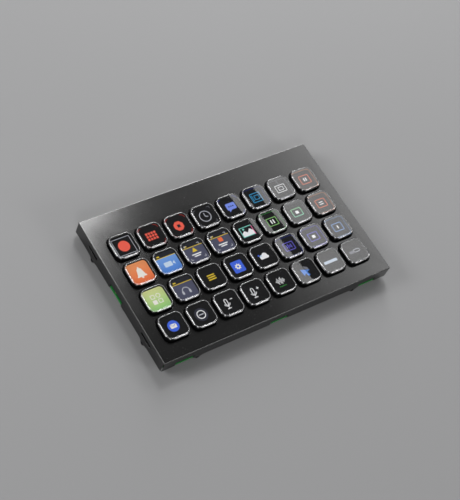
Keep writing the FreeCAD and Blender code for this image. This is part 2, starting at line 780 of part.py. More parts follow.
def usb_socket():
    """The inlet's metal shell, closed at the back and open at the wall."""
    mouth = PLATE_DEPTH / 2 - SOCKET_SUNK
    back = mouth - SOCKET_LENGTH
    corner = SOCKET_HEIGHT / 2 - SOCKET_SHELL
    shell = socket_block(SOCKET_WIDTH, SOCKET_HEIGHT, corner, back, mouth)
    width = SOCKET_WIDTH - 2 * SOCKET_SHELL
    height = SOCKET_HEIGHT - 2 * SOCKET_SHELL
    hollow = socket_block(width, height, corner - SOCKET_SHELL, back + SOCKET_SHELL, mouth + OVERRUN)
    return shell.cut(hollow)


def usb_tongue():
    """The plastic core inside the shell: a block with the contact tongue."""
    mouth = PLATE_DEPTH / 2 - SOCKET_SUNK
    back = mouth - SOCKET_LENGTH + SOCKET_SHELL
    middle = BOARD_TOP + SOCKET_HEIGHT / 2
    width = SOCKET_WIDTH - 2 * SOCKET_SHELL
    height = SOCKET_HEIGHT - 2 * SOCKET_SHELL
    corner = SOCKET_HEIGHT / 2 - 2 * SOCKET_SHELL
    block = socket_block(width, height, corner, back, back + SOCKET_BACK)
    tongue = box(
        -TONGUE_WIDTH / 2,
        TONGUE_WIDTH / 2,
        back,
        mouth - TONGUE_SHORT,
        middle - TONGUE_THICK / 2,
        middle + TONGUE_THICK / 2,
    )
    return block.fuse(tongue)


def spacers():
    """Round pillars pressed into the cover, threaded from below."""
    pillars = []
    radius = BOARD_SCREW_RADIUS + THREAD_CLEARANCE
    thread_top = BOARD_TOP + BOARD_SCREW_REACH + THREAD_ROOM
    for x, y in spacer_places():
        pillar = drum(x, y, SPACER_RADIUS, BOARD_TOP, PLATE_LOW)
        thread = drum(x, y, radius, BOARD_TOP - OVERRUN, thread_top)
        pillars.append(pillar.cut(thread))
    return Part.makeCompound(pillars)


def board_screws():
    """The screws that hold the main board to the spacers, driven from below."""
    screws = []
    for x, y in spacer_places():
        head_low = TRAY_TOP - BOARD_HEAD_HEIGHT
        head = drum(x, y, BOARD_HEAD_RADIUS, head_low, TRAY_TOP)
        shank = drum(x, y, BOARD_SCREW_RADIUS, head_low, BOARD_TOP + BOARD_SCREW_REACH)
        recess = drum(x, y, BOARD_RECESS_RADIUS, head_low - OVERRUN, head_low + BOARD_RECESS_DEPTH)
        screws.append(head.fuse(shank).cut(recess))
    return Part.makeCompound(screws)


def tray_lug(place):
    """A block of the tray behind an ear, which takes the ear's screw."""
    return box(place - LUG_WIDTH / 2, place + LUG_WIDTH / 2, SHEET, SHEET + LUG_DEPTH, 0, TRAY_TOP)


def rear_cover():
    """The moulded rear tray with lugs, bosses and vents."""
    tray = rounded_block(0, 0, TRAY_WIDTH, TRAY_DEPTH, TRAY_CORNER, 0, TRAY_TOP)
    corner = TRAY_CORNER - TRAY_WALL
    room = rounded_block(
        0, 0, TRAY_ROOM_WIDTH, TRAY_ROOM_DEPTH, corner, TRAY_FLOOR, TRAY_TOP + OVERRUN
    )
    tray = tray.cut(room)
    lugs = [on_wall(tray_lug(place), side) for side in EARS for place in EARS[side]]
    boss = INSERT_RADIUS + BOSS_WALL
    bosses = [drum(x, y, boss, 0, TRAY_TOP - INSERT_GAP) for x, y in insert_places()]
    tray = tray.fuse(lugs + bosses)
    return tray.cut(tray_cuts()).removeSplitter()


def tray_cuts():
    """Screw holes in the lugs, seats for the inserts and the vents in the floor."""
    tools = []
    radius = EAR_SCREW_RADIUS + SCREW_CLEARANCE
    for side in EARS:
        for place in EARS[side]:
            tools.append(on_wall(ear_bore(place, radius, 0, SHEET + LUG_DEPTH + OVERRUN), side))
    for x, y in insert_places():
        tools.append(drum(x, y, INSERT_RADIUS, -OVERRUN, TRAY_TOP))
    for step in range(VENT_COUNT):
        x = (step - (VENT_COUNT - 1) / 2) * VENT_PITCH
        corner = VENT_WIDTH / 2 - EAR_HEAD_SUNK
        tools.append(rounded_block(x, VENT_SHIFT, VENT_WIDTH, VENT_LENGTH, corner, -OVERRUN, TRAY_TOP))
    return tools


def mounting_inserts():
    """Brass sleeves in the tray's bosses, for screws from below."""
    top = TRAY_TOP - INSERT_GAP
    sleeves = []
    for x, y in insert_places():
        sleeve = drum(x, y, INSERT_RADIUS, 0, top)
        sleeves.append(sleeve.cut(drum(x, y, INSERT_BORE, -OVERRUN, top + OVERRUN)))
    return Part.makeCompound(sleeves)


def ear_screw(place):
    """A small countersunk screw through an ear, with a round socket."""
    head = ear_sink(place, 0)
    neck = EAR_HEAD_SUNK + EAR_HEAD_HEIGHT
    shank = ear_bore(place, EAR_SCREW_RADIUS, neck, EAR_SCREW_LENGTH)
    socket = ear_bore(place, EAR_SOCKET_RADIUS, -OVERRUN, EAR_HEAD_SUNK + EAR_SOCKET_DEPTH)
    return head.fuse(shank).cut(socket)


def ear_screws():
    return Part.makeCompound(
        [on_wall(ear_screw(place), side) for side in EARS for place in EARS[side]]
    )


def save(shape, node):
    shape.exportStep("parts/" + node + ".step")


def save_keys():
    """One file for each key, named by its row from the rear and its column from the left."""
    pattern = key()
    for row, column, x, y in grid_places():
        placed = pattern.copy()
        placed.translate(vector(x, y, 0))
        save(placed, "key_r%dc%d" % (row + 1, column + 1))


def main():
    os.makedirs("parts", exist_ok=True)
    save_keys()
    for make in (
        faceplate,
        guide_frame,
        key_mat,
        switch_board,
        display_tape,
        display_glass,
        display_driver,
        light_guide,
        backlight_tray,
        display_flex,
        display_connector,
        switch_flex,
        switch_connector,
        main_board,
        processor,
        memory_chip,
        driver_chips,
        crystal,
        power_inductors,
        capacitors,
        usb_socket,
        usb_tongue,
        spacers,
        board_screws,
        rear_cover,
        mounting_inserts,
        ear_screws,
    ):
        save(make(), make.__name__)


main()
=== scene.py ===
import math

import bmesh
import bpy
from bpy.props import FloatProperty, FloatVectorProperty, IntProperty, PointerProperty
from mathutils import Matrix, Vector
from mathutils.geometry import tessellate_polygon


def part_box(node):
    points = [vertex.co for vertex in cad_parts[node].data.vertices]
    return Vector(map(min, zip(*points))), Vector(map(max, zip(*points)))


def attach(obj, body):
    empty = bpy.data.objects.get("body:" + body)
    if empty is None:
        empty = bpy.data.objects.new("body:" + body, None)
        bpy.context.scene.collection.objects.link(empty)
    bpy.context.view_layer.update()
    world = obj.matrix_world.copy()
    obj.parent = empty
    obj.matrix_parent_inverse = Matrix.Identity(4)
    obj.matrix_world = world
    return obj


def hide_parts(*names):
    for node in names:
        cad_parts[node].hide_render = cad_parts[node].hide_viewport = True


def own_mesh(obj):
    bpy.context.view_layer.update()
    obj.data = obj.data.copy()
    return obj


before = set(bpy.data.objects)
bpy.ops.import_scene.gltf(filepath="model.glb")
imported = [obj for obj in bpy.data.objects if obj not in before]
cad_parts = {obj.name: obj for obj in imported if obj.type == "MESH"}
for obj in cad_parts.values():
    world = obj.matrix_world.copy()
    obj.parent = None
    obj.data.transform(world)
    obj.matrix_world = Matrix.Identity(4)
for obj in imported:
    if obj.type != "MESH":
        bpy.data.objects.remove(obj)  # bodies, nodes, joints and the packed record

bl_info = {
    "name": "Display Keypad",
    "version": (1, 0, 0),
    "blender": (4, 5, 0),
    "location": "3D View > Sidebar > Keypad",
    "description": "Dresses a keypad of clear display keys under a folded black cover",
    "category": "Object",
}

MM = 0.001
ROWS = 4
COLUMNS = 8
CASE = "case"
COVER_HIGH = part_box("faceplate")[1]
KEY_LOW, KEY_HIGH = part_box("key_r1c1")
BOARD_LOW, BOARD_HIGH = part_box("main_board")
SOCKET_LOW, SOCKET_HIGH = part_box("usb_socket")
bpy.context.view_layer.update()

# Half the width of a key's flange, which is the widest part of its solid
FLANGE_HALF = (KEY_HIGH.x - KEY_LOW.x) / 2

# Edges that turn by more than this are eased
SHARP_DEGREES = 40

# Least and greatest upward share of the direction that the painted highlight on a fold faces
HIGHLIGHT_TILTS = (0.8, 0.98)

# How bright the painted highlight on the other folds is, as a share of the one on the rear fold
DIM_HIGHLIGHT_SHARE = 0.25

# Points of the solids that are closer than this are one point
WELD = 0.001 * MM

# Thickness of the plates that a picture is made of
INK_THICK = 0.02 * MM

# Steps of an arc that goes round a sign's corner, and points of a whole circle
CORNER_STEPS = 5
CIRCLE_POINTS = 24

# How far the marks in a metal are drawn out: not at all, or upwards
EVEN = (1, 1, 1)
UPRIGHT = (1, 1, 0.05)

# Middles of the board's front tongues, and the pads on each, from its middle outwards
TONGUES = (-70.65 * MM, 0, 70.65 * MM)
PADS_ASIDE = 4
PAD = (0.7 * MM, 1.1 * MM, 0.04 * MM)
PAD_INSET = 0.9 * MM

# The contacts on both faces of the inlet's tongue
CONTACTS = 12
CONTACT = (0.26 * MM, 4.2 * MM, 0.05 * MM)
CONTACT_INSET = 0.3 * MM
TONGUE_THICK = 0.7 * MM

# Where the camera stands, and its ways forward and up, as fitted to the photograph
CAMERA_PLACE = (-0.40875, -0.27883, 0.65156 + COVER_HIGH.z)
CAMERA_VIEW = Vector((0.49293, 0.34182, -0.80012))
CAMERA_UP = Vector((0.31496, 0.78713, 0.5303))
FLOOR_HALF = 3.0

# Each lamp's place, width, height, share of the stage's brightness, and turn. One with a turn faces
# down, and one without faces the middle of the cover.
LAMPS = {
    "window": ((0.843, 0.37, 0.813), 0.53, 0.44, 0.18, 0.1),
    "window_bar": ((0.549, 0.342, 0.813), 0.022, 0.4, 0.18, 0.1),
    "window_far": ((0.9, 0.37, 0.8), 0.47, 0.5, 0.25, 0),
    "rear_light": ((0.25, 0.555, 0.813), 0.22, 0.2, 2.3, 0),
    "left_light": ((0.2, 0.41, 0.813), 0.16, 0.09, 1.0, 0),
    "left_card": ((-1.04, 0.44, 0.65), 0.6, 0.4, 1.1, None),
    "corner_card": ((-0.72, -0.93, 0.87), 0.5, 0.3, 0.9, None),
    "front_card": ((0.64, -1.15, 0.49), 0.42, 0.35, 1.2, None),
    "rear_card": ((0.69, 1.13, 0.62), 0.5, 1.0, 0.7, None),
}


def linear(code):
    """Scene colour of a hex code."""
    parts = [int(code[i:i + 2], 16) / 255 for i in (1, 3, 5)]
    return tuple(c / 12.92 if c < 0.04045 else ((c + 0.055) / 1.055) ** 2.4 for c in parts)


def size_field(name, description, size):
    """A length that the user can change, given here in millimetres."""
    return FloatProperty(name=name, description=description, default=size * MM, unit="LENGTH")


def colour_field(name, description, code):
    """A colour that the user can change, given here as a hex code."""
    return FloatVectorProperty(
        name=name, description=description, default=linear(code), subtype="COLOR", min=0, max=1
    )


# Lit colours of the pictures, and what each is for
INKS = {
    "red": ("#F2614D", "Stop and record signs"),
    "wine": ("#A3241F", "Corner marks of the red pictures"),
    "amber": ("#EE9A62", "Far edge of the orange picture"),
    "orange": ("#F0713F", "Near edge of the orange picture, and orange signs"),
    "yellow": ("#E3C433", "Header lines and yellow signs"),
    "straw": ("#D9DC96", "Far edge of the green picture"),
    "lime": ("#93D07A", "Near edge of the green picture, and green signs"),
    "green": ("#3FAE45", "Level marks"),
    "mint": ("#86DCCB", "Frame of the landscape"),
    "pink": ("#E56A9E", "Edge of the landscape"),
    "cyan": ("#39A7DE", "Crop sign"),
    "sky": ("#7FA9E4", "Far edge of the blue picture"),
    "azure": ("#4A84DA", "Near edge of the blue picture"),
    "blue": ("#3F66E0", "Settings and mail"),
    "navy": ("#1C2F86", "Corner marks of the blue pictures"),
    "periwinkle": ("#7C93EE", "Speech bubble"),
    "violet": ("#6A63D8", "Violet signs"),
    "ice": ("#C9DDF2", "Pale blue signs"),
    "cream": ("#F2EEE4", "Signs on coloured pictures"),
    "white": ("#F4F4F6", "White signs"),
    "silver": ("#B9BBC4", "Quiet signs"),
    "ash": ("#75767E", "Faint signs"),
    "smoke": ("#2C2E3A", "Halo of a ring"),
    "slate": ("#4C4E63", "Grey picture"),
    "night": ("#191B22", "Headers and dark details"),
}


class KeypadKeys(bpy.types.PropertyGroup):
    """Sizes of one clear key and of the picture in it."""

    side: size_field("Cap side", "Width of the cap", 17.1)
    corner: size_field("Corner", "Radius of the cap", 4.1)
    bevel: size_field("Bevel", "Width of the bevel", 0.7)
    recess: size_field("Recess", "Depth of the flat recess in the cap's face", 0.12)
    # Share of the bevel, from its top, that carries the white painted highlight; below it the black side
    # starts
    bright: FloatProperty(
        name="Bright share", description="Bright part of the bevel", default=0.35, min=0, max=1
    )
    ease: size_field("Ease", "Rounding of the edges", 0.13)
    flange: size_field("Flange", "Flange's thickness", 0.7)
    drop: size_field("Foot drop", "How far the image block reaches below the flange", 1.1)
    inset: size_field("Foot inset", "How far the block's foot stands inside the cap's side", 1.25)
    picture_side: size_field("Picture side", "Width of the lit picture", 15.2)
    picture_corner: size_field("Picture corner", "Radius of the lit picture", 2.6)
    picture_depth: size_field("Picture depth", "Depth of the picture under the cap's top", 2.2)
    steps: IntProperty(name="Corner steps", description="Faces round a corner", default=10, min=2)


class KeypadInks(bpy.types.PropertyGroup):
    """Lit colours of the pictures."""

    __annotations__ = {
        ink: colour_field(ink.capitalize(), use, code) for ink, (code, use) in INKS.items()
    }


class KeypadCase(bpy.types.PropertyGroup):
    """Finish of the cover, the tray and the board."""

    coat: colour_field("Coat", "Colour of the cover's powder coat", "#151515")
    # Colour of the painted highlight along the rear fold; the other folds get a dimmer share of it
    fold_highlight: colour_field("Rub", "Colour of the coat on the rear fold, where it is rubbed thin", "#C4C4C4")
    mask: colour_field("Mask", "Colour of the board's solder mask", "#0E6B2A")
    fold: size_field("Fold", "Reach of the cover's folds inside its sides and below its top", 1.6)
    ease: size_field("Edge ease", "Rounding of the other edges", 0.12)
    pad_pitch: size_field("Pad pitch", "Distance between the pads on the board's tongues", 1.27)
    contact_pitch: size_field("Contact pitch", "Distance between the inlet's contacts", 0.5)


class KeypadMat(bpy.types.PropertyGroup):
    """Sizes of the silicone mat under the keys."""

    sheet: size_field("Sheet", "Thickness of the sheet", 0.4)
    corner: size_field("Corner", "Radius of the sheet", 6.55)
    window: size_field("Window", "Width of a window", 15.6)
    window_corner: size_field("Window corner", "Radius of a window", 3.5)
    wall: size_field("Wall", "Thickness of a collar", 0.5)
    inset: size_field("Inset", "How far a collar's head stands inside the flange's side", 0.7)
    slope: size_field("Slope", "How far a collar's foot stands outside its head", 0.4)
    head_corner: size_field("Head corner", "Radius of a collar's head", 4.25)
    steps: IntProperty(name="Corner steps", description="Faces round a corner", default=6, min=2)


class KeypadStage(bpy.types.PropertyGroup):
    """Floor, lamps and camera."""

    floor: colour_field("Floor", "Colour of the floor", "#A4A4A5")
    lens: FloatProperty(name="Lens", description="Focal length", default=93.98, unit="CAMERA")
    world: FloatProperty(name="World", description="Brightness of the surroundings", default=0.12)
    lamps: FloatProperty(name="Lamps", description="Brightness of a softbox's face", default=8.0)


def overload(operation, reflected=False):
    """An operator of Tap, which adds a Math node. A reflected one has the tap on its right."""

    def apply(tap, other):
        return tap.graph.math(operation, *((other, tap) if reflected else (tap, other)))

    return apply


class Tap:
    """An output socket in a graph. Arithmetic on taps adds Math nodes."""

    __add__ = overload("ADD")
    __radd__ = overload("ADD", True)
    __sub__ = overload("SUBTRACT")
    __rsub__ = overload("SUBTRACT", True)
    __mul__ = overload("MULTIPLY")
    __rmul__ = overload("MULTIPLY", True)
    __truediv__ = overload("DIVIDE")
    __rtruediv__ = overload("DIVIDE", True)
    __gt__ = overload("GREATER_THAN")
    __lt__ = overload("LESS_THAN")

    def __init__(self, graph, socket):
        self.graph = graph
        self.socket = socket

    def output(self, name):
        """Another output of the same node."""
        return Tap(self.graph, self.socket.node.outputs[name])


class Graph:
    """A node tree, for a material or for geometry, whose nodes all come from add."""

    def __init__(self, tree):
        self.tree = tree

    def add(self, kind, values=None, output=0, **settings):
        """A new node. Its settings are set first, then the values or taps of its inputs."""
        node = self.tree.nodes.new(kind)
        for name, value in settings.items():
            setattr(node, name, value)
        for name, value in (values or {}).items():
            self.feed(node.inputs[name], value)
        return Tap(self, node.outputs[output]) if node.outputs else node

    def feed(self, socket, value):
        if isinstance(value, Tap):
            self.tree.links.new(value.socket, socket)
        else:
            socket.default_value = value

    def math(self, operation, *values):
        return self.add("ShaderNodeMath", dict(enumerate(values)), operation=operation)

    def vector(self, operation, *values):
        return self.add("ShaderNodeVectorMath", dict(enumerate(values)), operation=operation)

    def axis(self, vector, name):
        return self.add("ShaderNodeSeparateXYZ", {0: vector}, name)

    def clamped(self, value):
        return self.add("ShaderNodeClamp", {"Value": value})

    def waves(self, value, size):
        """Sine waves of this size along a value."""
        return self.math("SINE", value * (math.tau / size))

    def blend(self, factor, first, second):
        """Two colours mixed."""
        values = {0: factor, 6: first, 7: second}
        return self.add("ShaderNodeMix", values, 2, data_type="RGBA")


class Finish(Graph):
    """A material with one Principled shader, which reads the object's own coordinates."""

    def __init__(self, name, constants):
        self.material = bpy.data.materials.new(name)
        self.material.use_nodes = True
        super().__init__(self.material.node_tree)
        self.shader = self.tree.nodes["Principled BSDF"]
        self.at = self.add("ShaderNodeTexCoord", output="Object")
        for socket, value in constants.items():
            self.feed(self.shader.inputs[socket], value)

    def grain(self, size, detail=2.0, stretch=(1, 1, 1)):
        """Noise from 0 to 1 in patches of this size, in millimetres, longer where the stretch is less."""
        place = self.vector("MULTIPLY", self.at, stretch)
        values = {"Vector": place, "Scale": 1 / (size * MM), "Detail": detail}
        return self.add("ShaderNodeTexNoise", values)

    def colour(self, factor, first, second):
        """Base colour between two tones."""
        self.feed(self.shader.inputs["Base Color"], self.blend(factor, first, second))

    def roughness(self, value):
        self.feed(self.shader.inputs["Roughness"], value)

    def relief(self, height, depth):
        """Bump of this depth in millimetres."""
        values = {"Height": height, "Distance": depth * MM, "Strength": 1.0}
        self.feed(self.shader.inputs["Normal"], self.add("ShaderNodeBump", values))


def opaque(colour, level=1.0):
    """A colour or a hex code as a socket takes it, darker or lighter by a level."""
    if isinstance(colour, str):
        colour = linear(colour)
    return (colour[0] * level, colour[1] * level, colour[2] * level, 1)


def powder_coat(name, colour, roughness, constants):
    """Satin powder coat: fine orange peel, faint clouds and a few specks of dust."""
    finish = Finish(name, {"IOR": 1.5, **constants})
    peel = finish.grain(0.45, 3.0)
    clouds = finish.grain(34, 2.0)
    dust = finish.clamped((finish.grain(0.7, 0.0) - 0.79) * 9.0)
    base = finish.blend(clouds, opaque(colour, 0.82), opaque(colour, 1.2))
    finish.colour(dust * 0.25, base, opaque("#7A7A78"))
    finish.roughness(roughness + (peel - 0.5) * 0.07 + (clouds - 0.5) * 0.08)
    finish.relief(peel, 0.003)
    return finish.material


def moulded(name, code, roughness=0.5, grain=0.4, depth=0.012, constants=None):
    """Moulded plastic, rubber or resin with a fine spark-eroded texture."""
    finish = Finish(name, constants or {})
    texture = finish.grain(grain, 3.0)
    flow = finish.grain(grain * 40, 1.0, (1, 0.35, 1))
    finish.colour(flow, opaque(code, 0.8), opaque(code, 1.2))
    finish.roughness(roughness + (texture - 0.5) * 0.16)
    finish.relief(texture, depth)
    return finish.material


def worked_metal(name, code, roughness=0.3, stretch=(1, 0.04, 1)):
    """Formed or turned metal with fine marks along one way."""
    finish = Finish(name, {"Metallic": 1.0})
    marks = finish.grain(0.09, 2.0, stretch)
    stain = finish.grain(5, 2.0)
    finish.colour(stain, opaque(code, 0.82), opaque(code, 1.08))
    finish.roughness(roughness + (marks - 0.5) * 0.22)
    finish.relief(marks, 0.004)
    return finish.material


def circuit_board(name, colour):
    """A fibre board: green mask over traces and vias, with its laminate in the edges."""
    finish = Finish(name, {"IOR": 1.5, "Coat Weight": 0.3})
    facing = finish.add("ShaderNodeNewGeometry", output="Normal")
    edge = finish.math("ABSOLUTE", finish.axis(facing, "Z")) < 0.5
    layers = finish.waves(finish.axis(finish.at, "Z"), 0.2 * MM) * 0.5 + 0.5
    values = {"Vector": finish.at, "Scale": 1 / (3.2 * MM)}
    traces = finish.add("ShaderNodeTexVoronoi", values, distance="MANHATTAN", feature="F1")
    copper = finish.math("PINGPONG", traces, 0.09) > 0.055
    values["Scale"] = 1 / (2.4 * MM)
    vias = finish.add("ShaderNodeTexVoronoi", values) < 0.13
    mask = finish.blend(copper * 0.6, opaque(colour), opaque(colour, 1.9))
    mask = finish.blend(vias, mask, opaque("#A8A27C"))
    laminate = finish.blend(layers * 0.6, opaque("#1F9A3C"), opaque("#0A4A1C"))
    finish.colour(edge, mask, laminate)
    finish.roughness(0.32 + edge * 0.25 + finish.grain(0.3) * 0.12)
    finish.relief(copper + layers * edge * 0.5, 0.02)
    return finish.material


def clear_acrylic():
    """Polished clear acrylic with the faintest wipe marks."""
    constants = {
        "Transmission Weight": 1.0,
        "IOR": 1.49,
        "Base Color": (0.98, 0.99, 1.0, 1),
        "Coat Weight": 1.0,
        "Coat Roughness": 0.01,
        "Coat IOR": 1.7,
    }
    finish = Finish("clear_acrylic", constants)
    wipes = finish.grain(1.6, 3.0, (1, 0.2, 1))
    finish.roughness(0.01 + wipes * 0.015)
    return finish.material


def bright_bevel():
    """The cap's bevel, whose cut face scatters light."""
    constants = {
        "Transmission Weight": 0.72,
        "IOR": 1.49,
        "Specular IOR Level": 1.0,
        "Coat Weight": 1.0,
        "Coat Roughness": 0.12,
        "Coat IOR": 1.7,
    }
    finish = Finish("bright_bevel", constants)
    # Random tone of the white painted highlight
    cut = finish.grain(0.2, 2.0)
    finish.colour(cut, opaque("#E2E4E8"), opaque("#FAFAFB"))
    finish.roughness(0.14 + cut * 0.08)
    finish.relief(cut, 0.001)
    return finish.material


def glossy_black():
    """The cap's sides, painted black behind the clear face."""
    finish = Finish("black_side", {"IOR": 1.49})
    flow = finish.grain(2, 1.0)
    finish.colour(flow, opaque("#060607"), opaque("#0D0D0F"))
    finish.roughness(0.12 + flow * 0.1)
    return finish.material


def black_paint(name, code):
    """Dull black under the clear cap, with no shine of its own."""
    finish = Finish(name, {"Specular IOR Level": 0.0})
    speckle = finish.grain(0.15, 1.0)
    finish.colour(speckle, opaque(code, 0.6), opaque(code, 1.4))
    finish.roughness(0.7 + speckle * 0.2)
    return finish.material


def lit_picture():
    """Light of the pictures: each shape's own tint, broken into fine dots, dimmer at the edge."""
    constants = {
        "Base Color": (0.008, 0.008, 0.012, 1),
        "Specular IOR Level": 0.0,
        "Emission Strength": 0.93,
    }
    finish = Finish("lit_picture", constants)
    tint = finish.add("ShaderNodeAttribute", output="Color", attribute_name="tint")
    place = finish.add("ShaderNodeUVMap", uv_map="picture")
    pitch = 1 / 96
    dots = [finish.waves(finish.axis(place, axis), pitch) for axis in "XY"]
    reach = finish.vector("LENGTH", finish.vector("SUBTRACT", place, (0.5, 0.5, 0))).output("Value")
    level = 0.97 + dots[0] * dots[1] * 0.06 - finish.clamped(reach - 0.3) * 0.5
    light = finish.add("ShaderNodeVectorMath", {0: tint, "Scale": level}, operation="SCALE")
    finish.feed(finish.shader.inputs["Emission Color"], light)
    return finish.material


def amber_film():
    """Thin polyimide film over copper lines."""
    finish = Finish("flex_film", {"IOR": 1.6})
    lines = finish.waves(finish.axis(finish.at, "X"), 0.5 * MM) > 0.2
    finish.colour(lines, opaque("#8A4B12"), opaque("#C98532"))
    finish.roughness(0.28 + finish.grain(0.6) * 0.1)
    finish.relief(lines, 0.01)
    return finish.material


def inner_finishes():
    """A finish for each solid that is kept as it is, by the names of the solids."""
    chip = moulded("chip_resin", "#1B1B1D", 0.55, 0.12)
    housing = moulded("connector_plastic", "#2A2A2C", 0.45)
    film = amber_film()
    return {
        "guide_frame": moulded("guide_plastic", "#161618", 0.6),
        "switch_board": circuit_board("contact_board", "#0B3F24"),
        "display_tape": moulded("foam_tape", "#101011", 0.8, 0.15, 0.03),
        "display_glass": moulded("display_glass", "#07070A", 0.06, 2, 0.0005),
        "display_driver": chip,
        "light_guide": moulded("light_spreader", "#DADDE0", 0.15, 1, 0.002),
        "backlight_tray": worked_metal("thin_steel", "#B8B9BC", 0.28),
        "display_flex": film,
        "display_connector": housing,
        "switch_flex": film,
        "switch_connector": housing,
        "processor": chip,
        "memory_chip": chip,
        "driver_chips": chip,
        "crystal": worked_metal("crystal_can", "#C6C4BC", 0.25, EVEN),
        "power_inductors": moulded("pressed_ferrite", "#4A4A4C", 0.75, 0.2, 0.03),
        "capacitors": moulded("ceramic", "#A88458", 0.5, 0.2),
        "usb_socket": worked_metal("socket_steel", "#B2B3B7", 0.22),
        "usb_tongue": moulded("inlet_plastic", "#1A1A1C", 0.4),
        "spacers": worked_metal("spacer_steel", "#ADADB0", 0.3, UPRIGHT),
        "board_screws": worked_metal("screw_steel", "#3A3A3D", 0.4, EVEN),
        "mounting_inserts": worked_metal("insert_brass", "#D2A659", 0.3, UPRIGHT),
        "ear_screws": worked_metal("blackened_steel", "#26262A", 0.42, EVEN),
    }


def linked(name, data):
    """A new object in the scene."""
    made = bpy.data.objects.new(name, data)
    bpy.context.scene.collection.objects.link(made)
    return made


def piece(name, mesh):
    """A named object for a mesh that is already in place."""
    mesh.name = name
    return linked(name, mesh)


def eased(node, name, width, materials):
    """A copy of a solid with its sharp outer edges slightly rounded, which stands for that solid."""
    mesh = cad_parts[node].data.copy()
    form = bmesh.new()
    form.from_mesh(mesh)
    bmesh.ops.remove_doubles(form, verts=form.verts, dist=WELD)
    least = math.radians(SHARP_DEGREES)
    sharp = [edge for edge in form.edges if edge.is_convex and edge.calc_face_angle() > least]
    bmesh.ops.bevel(
        form, geom=sharp, offset=width, offset_type="OFFSET", segments=2, profile=0.5,
        affect="EDGES", clamp_overlap=False,
    )
    for face in form.faces:
        face.material_index = 0
        face.smooth = True
    form.to_mesh(mesh)
    form.free()
    mesh.materials.clear()
    for material in materials:
        mesh.materials.append(material)
    made = piece(name, mesh)
    made.modifiers.new("even_shading", "WEIGHTED_NORMAL").keep_sharp = True
    return made


def new_tree(name, inputs):
    """A graph of geometry nodes, and a tap of each input, whose names and kinds are given."""
    tree = bpy.data.node_groups.new(name, "GeometryNodeTree")
    for title, kind in inputs.items():
        tree.interface.new_socket(title, in_out="INPUT", socket_type=f"NodeSocket{kind}")
    tree.interface.new_socket("Mesh", in_out="OUTPUT", socket_type="NodeSocketGeometry")
    graph = Graph(tree)
    given = graph.add("NodeGroupInput")
    return graph, {title: given.output(title) for title in inputs}


# Parts of a profile that can have a finish of their own, which starts at a ring of faces
ZONES = ("Bevel", "Side", "Foot")


def sweep_tree():
    """Geometry nodes that carry a profile round a square with round corners.

    A profile's point gives the half side in X and the height in Z. Its corners have the given radius
    where the half side is the given one, and less by as much as the half side is less.
    """
    inputs = {"Profile": "Geometry", "Half side": "Float", "Corner": "Float", "Steps": "Int"}
    inputs.update({"Centre": "Vector", "Finish": "Material"})
    for zone in ZONES:
        inputs.update({f"{zone} ring": "Int", f"{zone} finish": "Material"})
    graph, given = new_tree("rounded_square_sweep", inputs)
    profile = given["Profile"]
    steps = given["Steps"]
    rows = graph.add("GeometryNodeAttributeDomainSize", {"Geometry": profile})
    around = (steps + 1) * 4 + 1
    grid = graph.add("GeometryNodeMeshGrid", {"Vertices X": rows, "Vertices Y": around})
    index = graph.add("GeometryNodeInputIndex")
    row = graph.math("FLOOR", (index + 0.5) / around)
    turn = index - row * around
    quarter = graph.math("FLOOR", (turn + 0.5) / (steps + 1))
    step = turn - quarter * (steps + 1)
    values = {"Geometry": profile, "Value": graph.add("GeometryNodeInputPosition"), "Index": row}
    point = graph.add("GeometryNodeSampleIndex", values, data_type="FLOAT_VECTOR")
    half = graph.axis(point, "X")
    inset = given["Half side"] - half
    radius = graph.math("MINIMUM", graph.math("MAXIMUM", given["Corner"] - inset, 0), half)
    diagonal = (quarter + 0.5) * (math.pi / 2)
    angle = (quarter + step / steps) * (math.pi / 2)
    reach = (half - radius) * math.sqrt(2)
    x = reach * graph.math("COSINE", diagonal) + radius * graph.math("COSINE", angle)
    y = reach * graph.math("SINE", diagonal) + radius * graph.math("SINE", angle)
    place = graph.add("ShaderNodeCombineXYZ", {"X": x, "Y": y, "Z": graph.axis(point, "Z")})
    place = graph.vector("ADD", place, given["Centre"])
    swept = graph.add("GeometryNodeSetPosition", {"Geometry": grid, "Position": place})
    ring = graph.math("FLOOR", (graph.add("GeometryNodeInputIndex") + 0.5) / (around - 1))
    bevel, side, foot = [ring > given[f"{zone} ring"] - 0.5 for zone in ZONES]
    values = {"Geometry": swept, "Name": "zone", "Value": bevel + side + foot}
    marked = graph.add(
        "GeometryNodeStoreNamedAttribute", values, data_type="FLOAT", domain="FACE"
    )
    values = {"Geometry": marked, "Distance": WELD / 2}
    closed = graph.add("GeometryNodeMergeByDistance", values)
    smooth = graph.add("GeometryNodeSetShadeSmooth", {"Geometry": closed})
    finished = graph.add("GeometryNodeRealizeInstances", {"Geometry": smooth})
    mark = graph.add("GeometryNodeInputNamedAttribute", {"Name": "zone"}, data_type="FLOAT")
    for count, title in enumerate(("Finish", *(f"{zone} finish" for zone in ZONES))):
        values = {"Geometry": finished, "Selection": mark > count - 0.5, "Material": given[title]}
        finished = graph.add("GeometryNodeSetMaterial", values)
    graph.add("NodeGroupOutput", {"Mesh": finished})
    return graph.tree


def row_tree():
    """Geometry nodes that stand equal bars at each of the given points."""
    inputs = {"Points": "Geometry", "Size": "Vector", "Finish": "Material"}
    graph, given = new_tree("bars_at_points", inputs)
    bar = graph.add("GeometryNodeMeshCube", {"Size": given["Size"]})
    values = {"Points": given["Points"], "Instance": bar}
    bars = graph.add("GeometryNodeInstanceOnPoints", values)
    real = graph.add("GeometryNodeRealizeInstances", {"Geometry": bars})
    values = {"Geometry": real, "Material": given["Finish"]}
    finished = graph.add("GeometryNodeSetMaterial", values)
    graph.add("NodeGroupOutput", {"Mesh": finished})
    return graph.tree


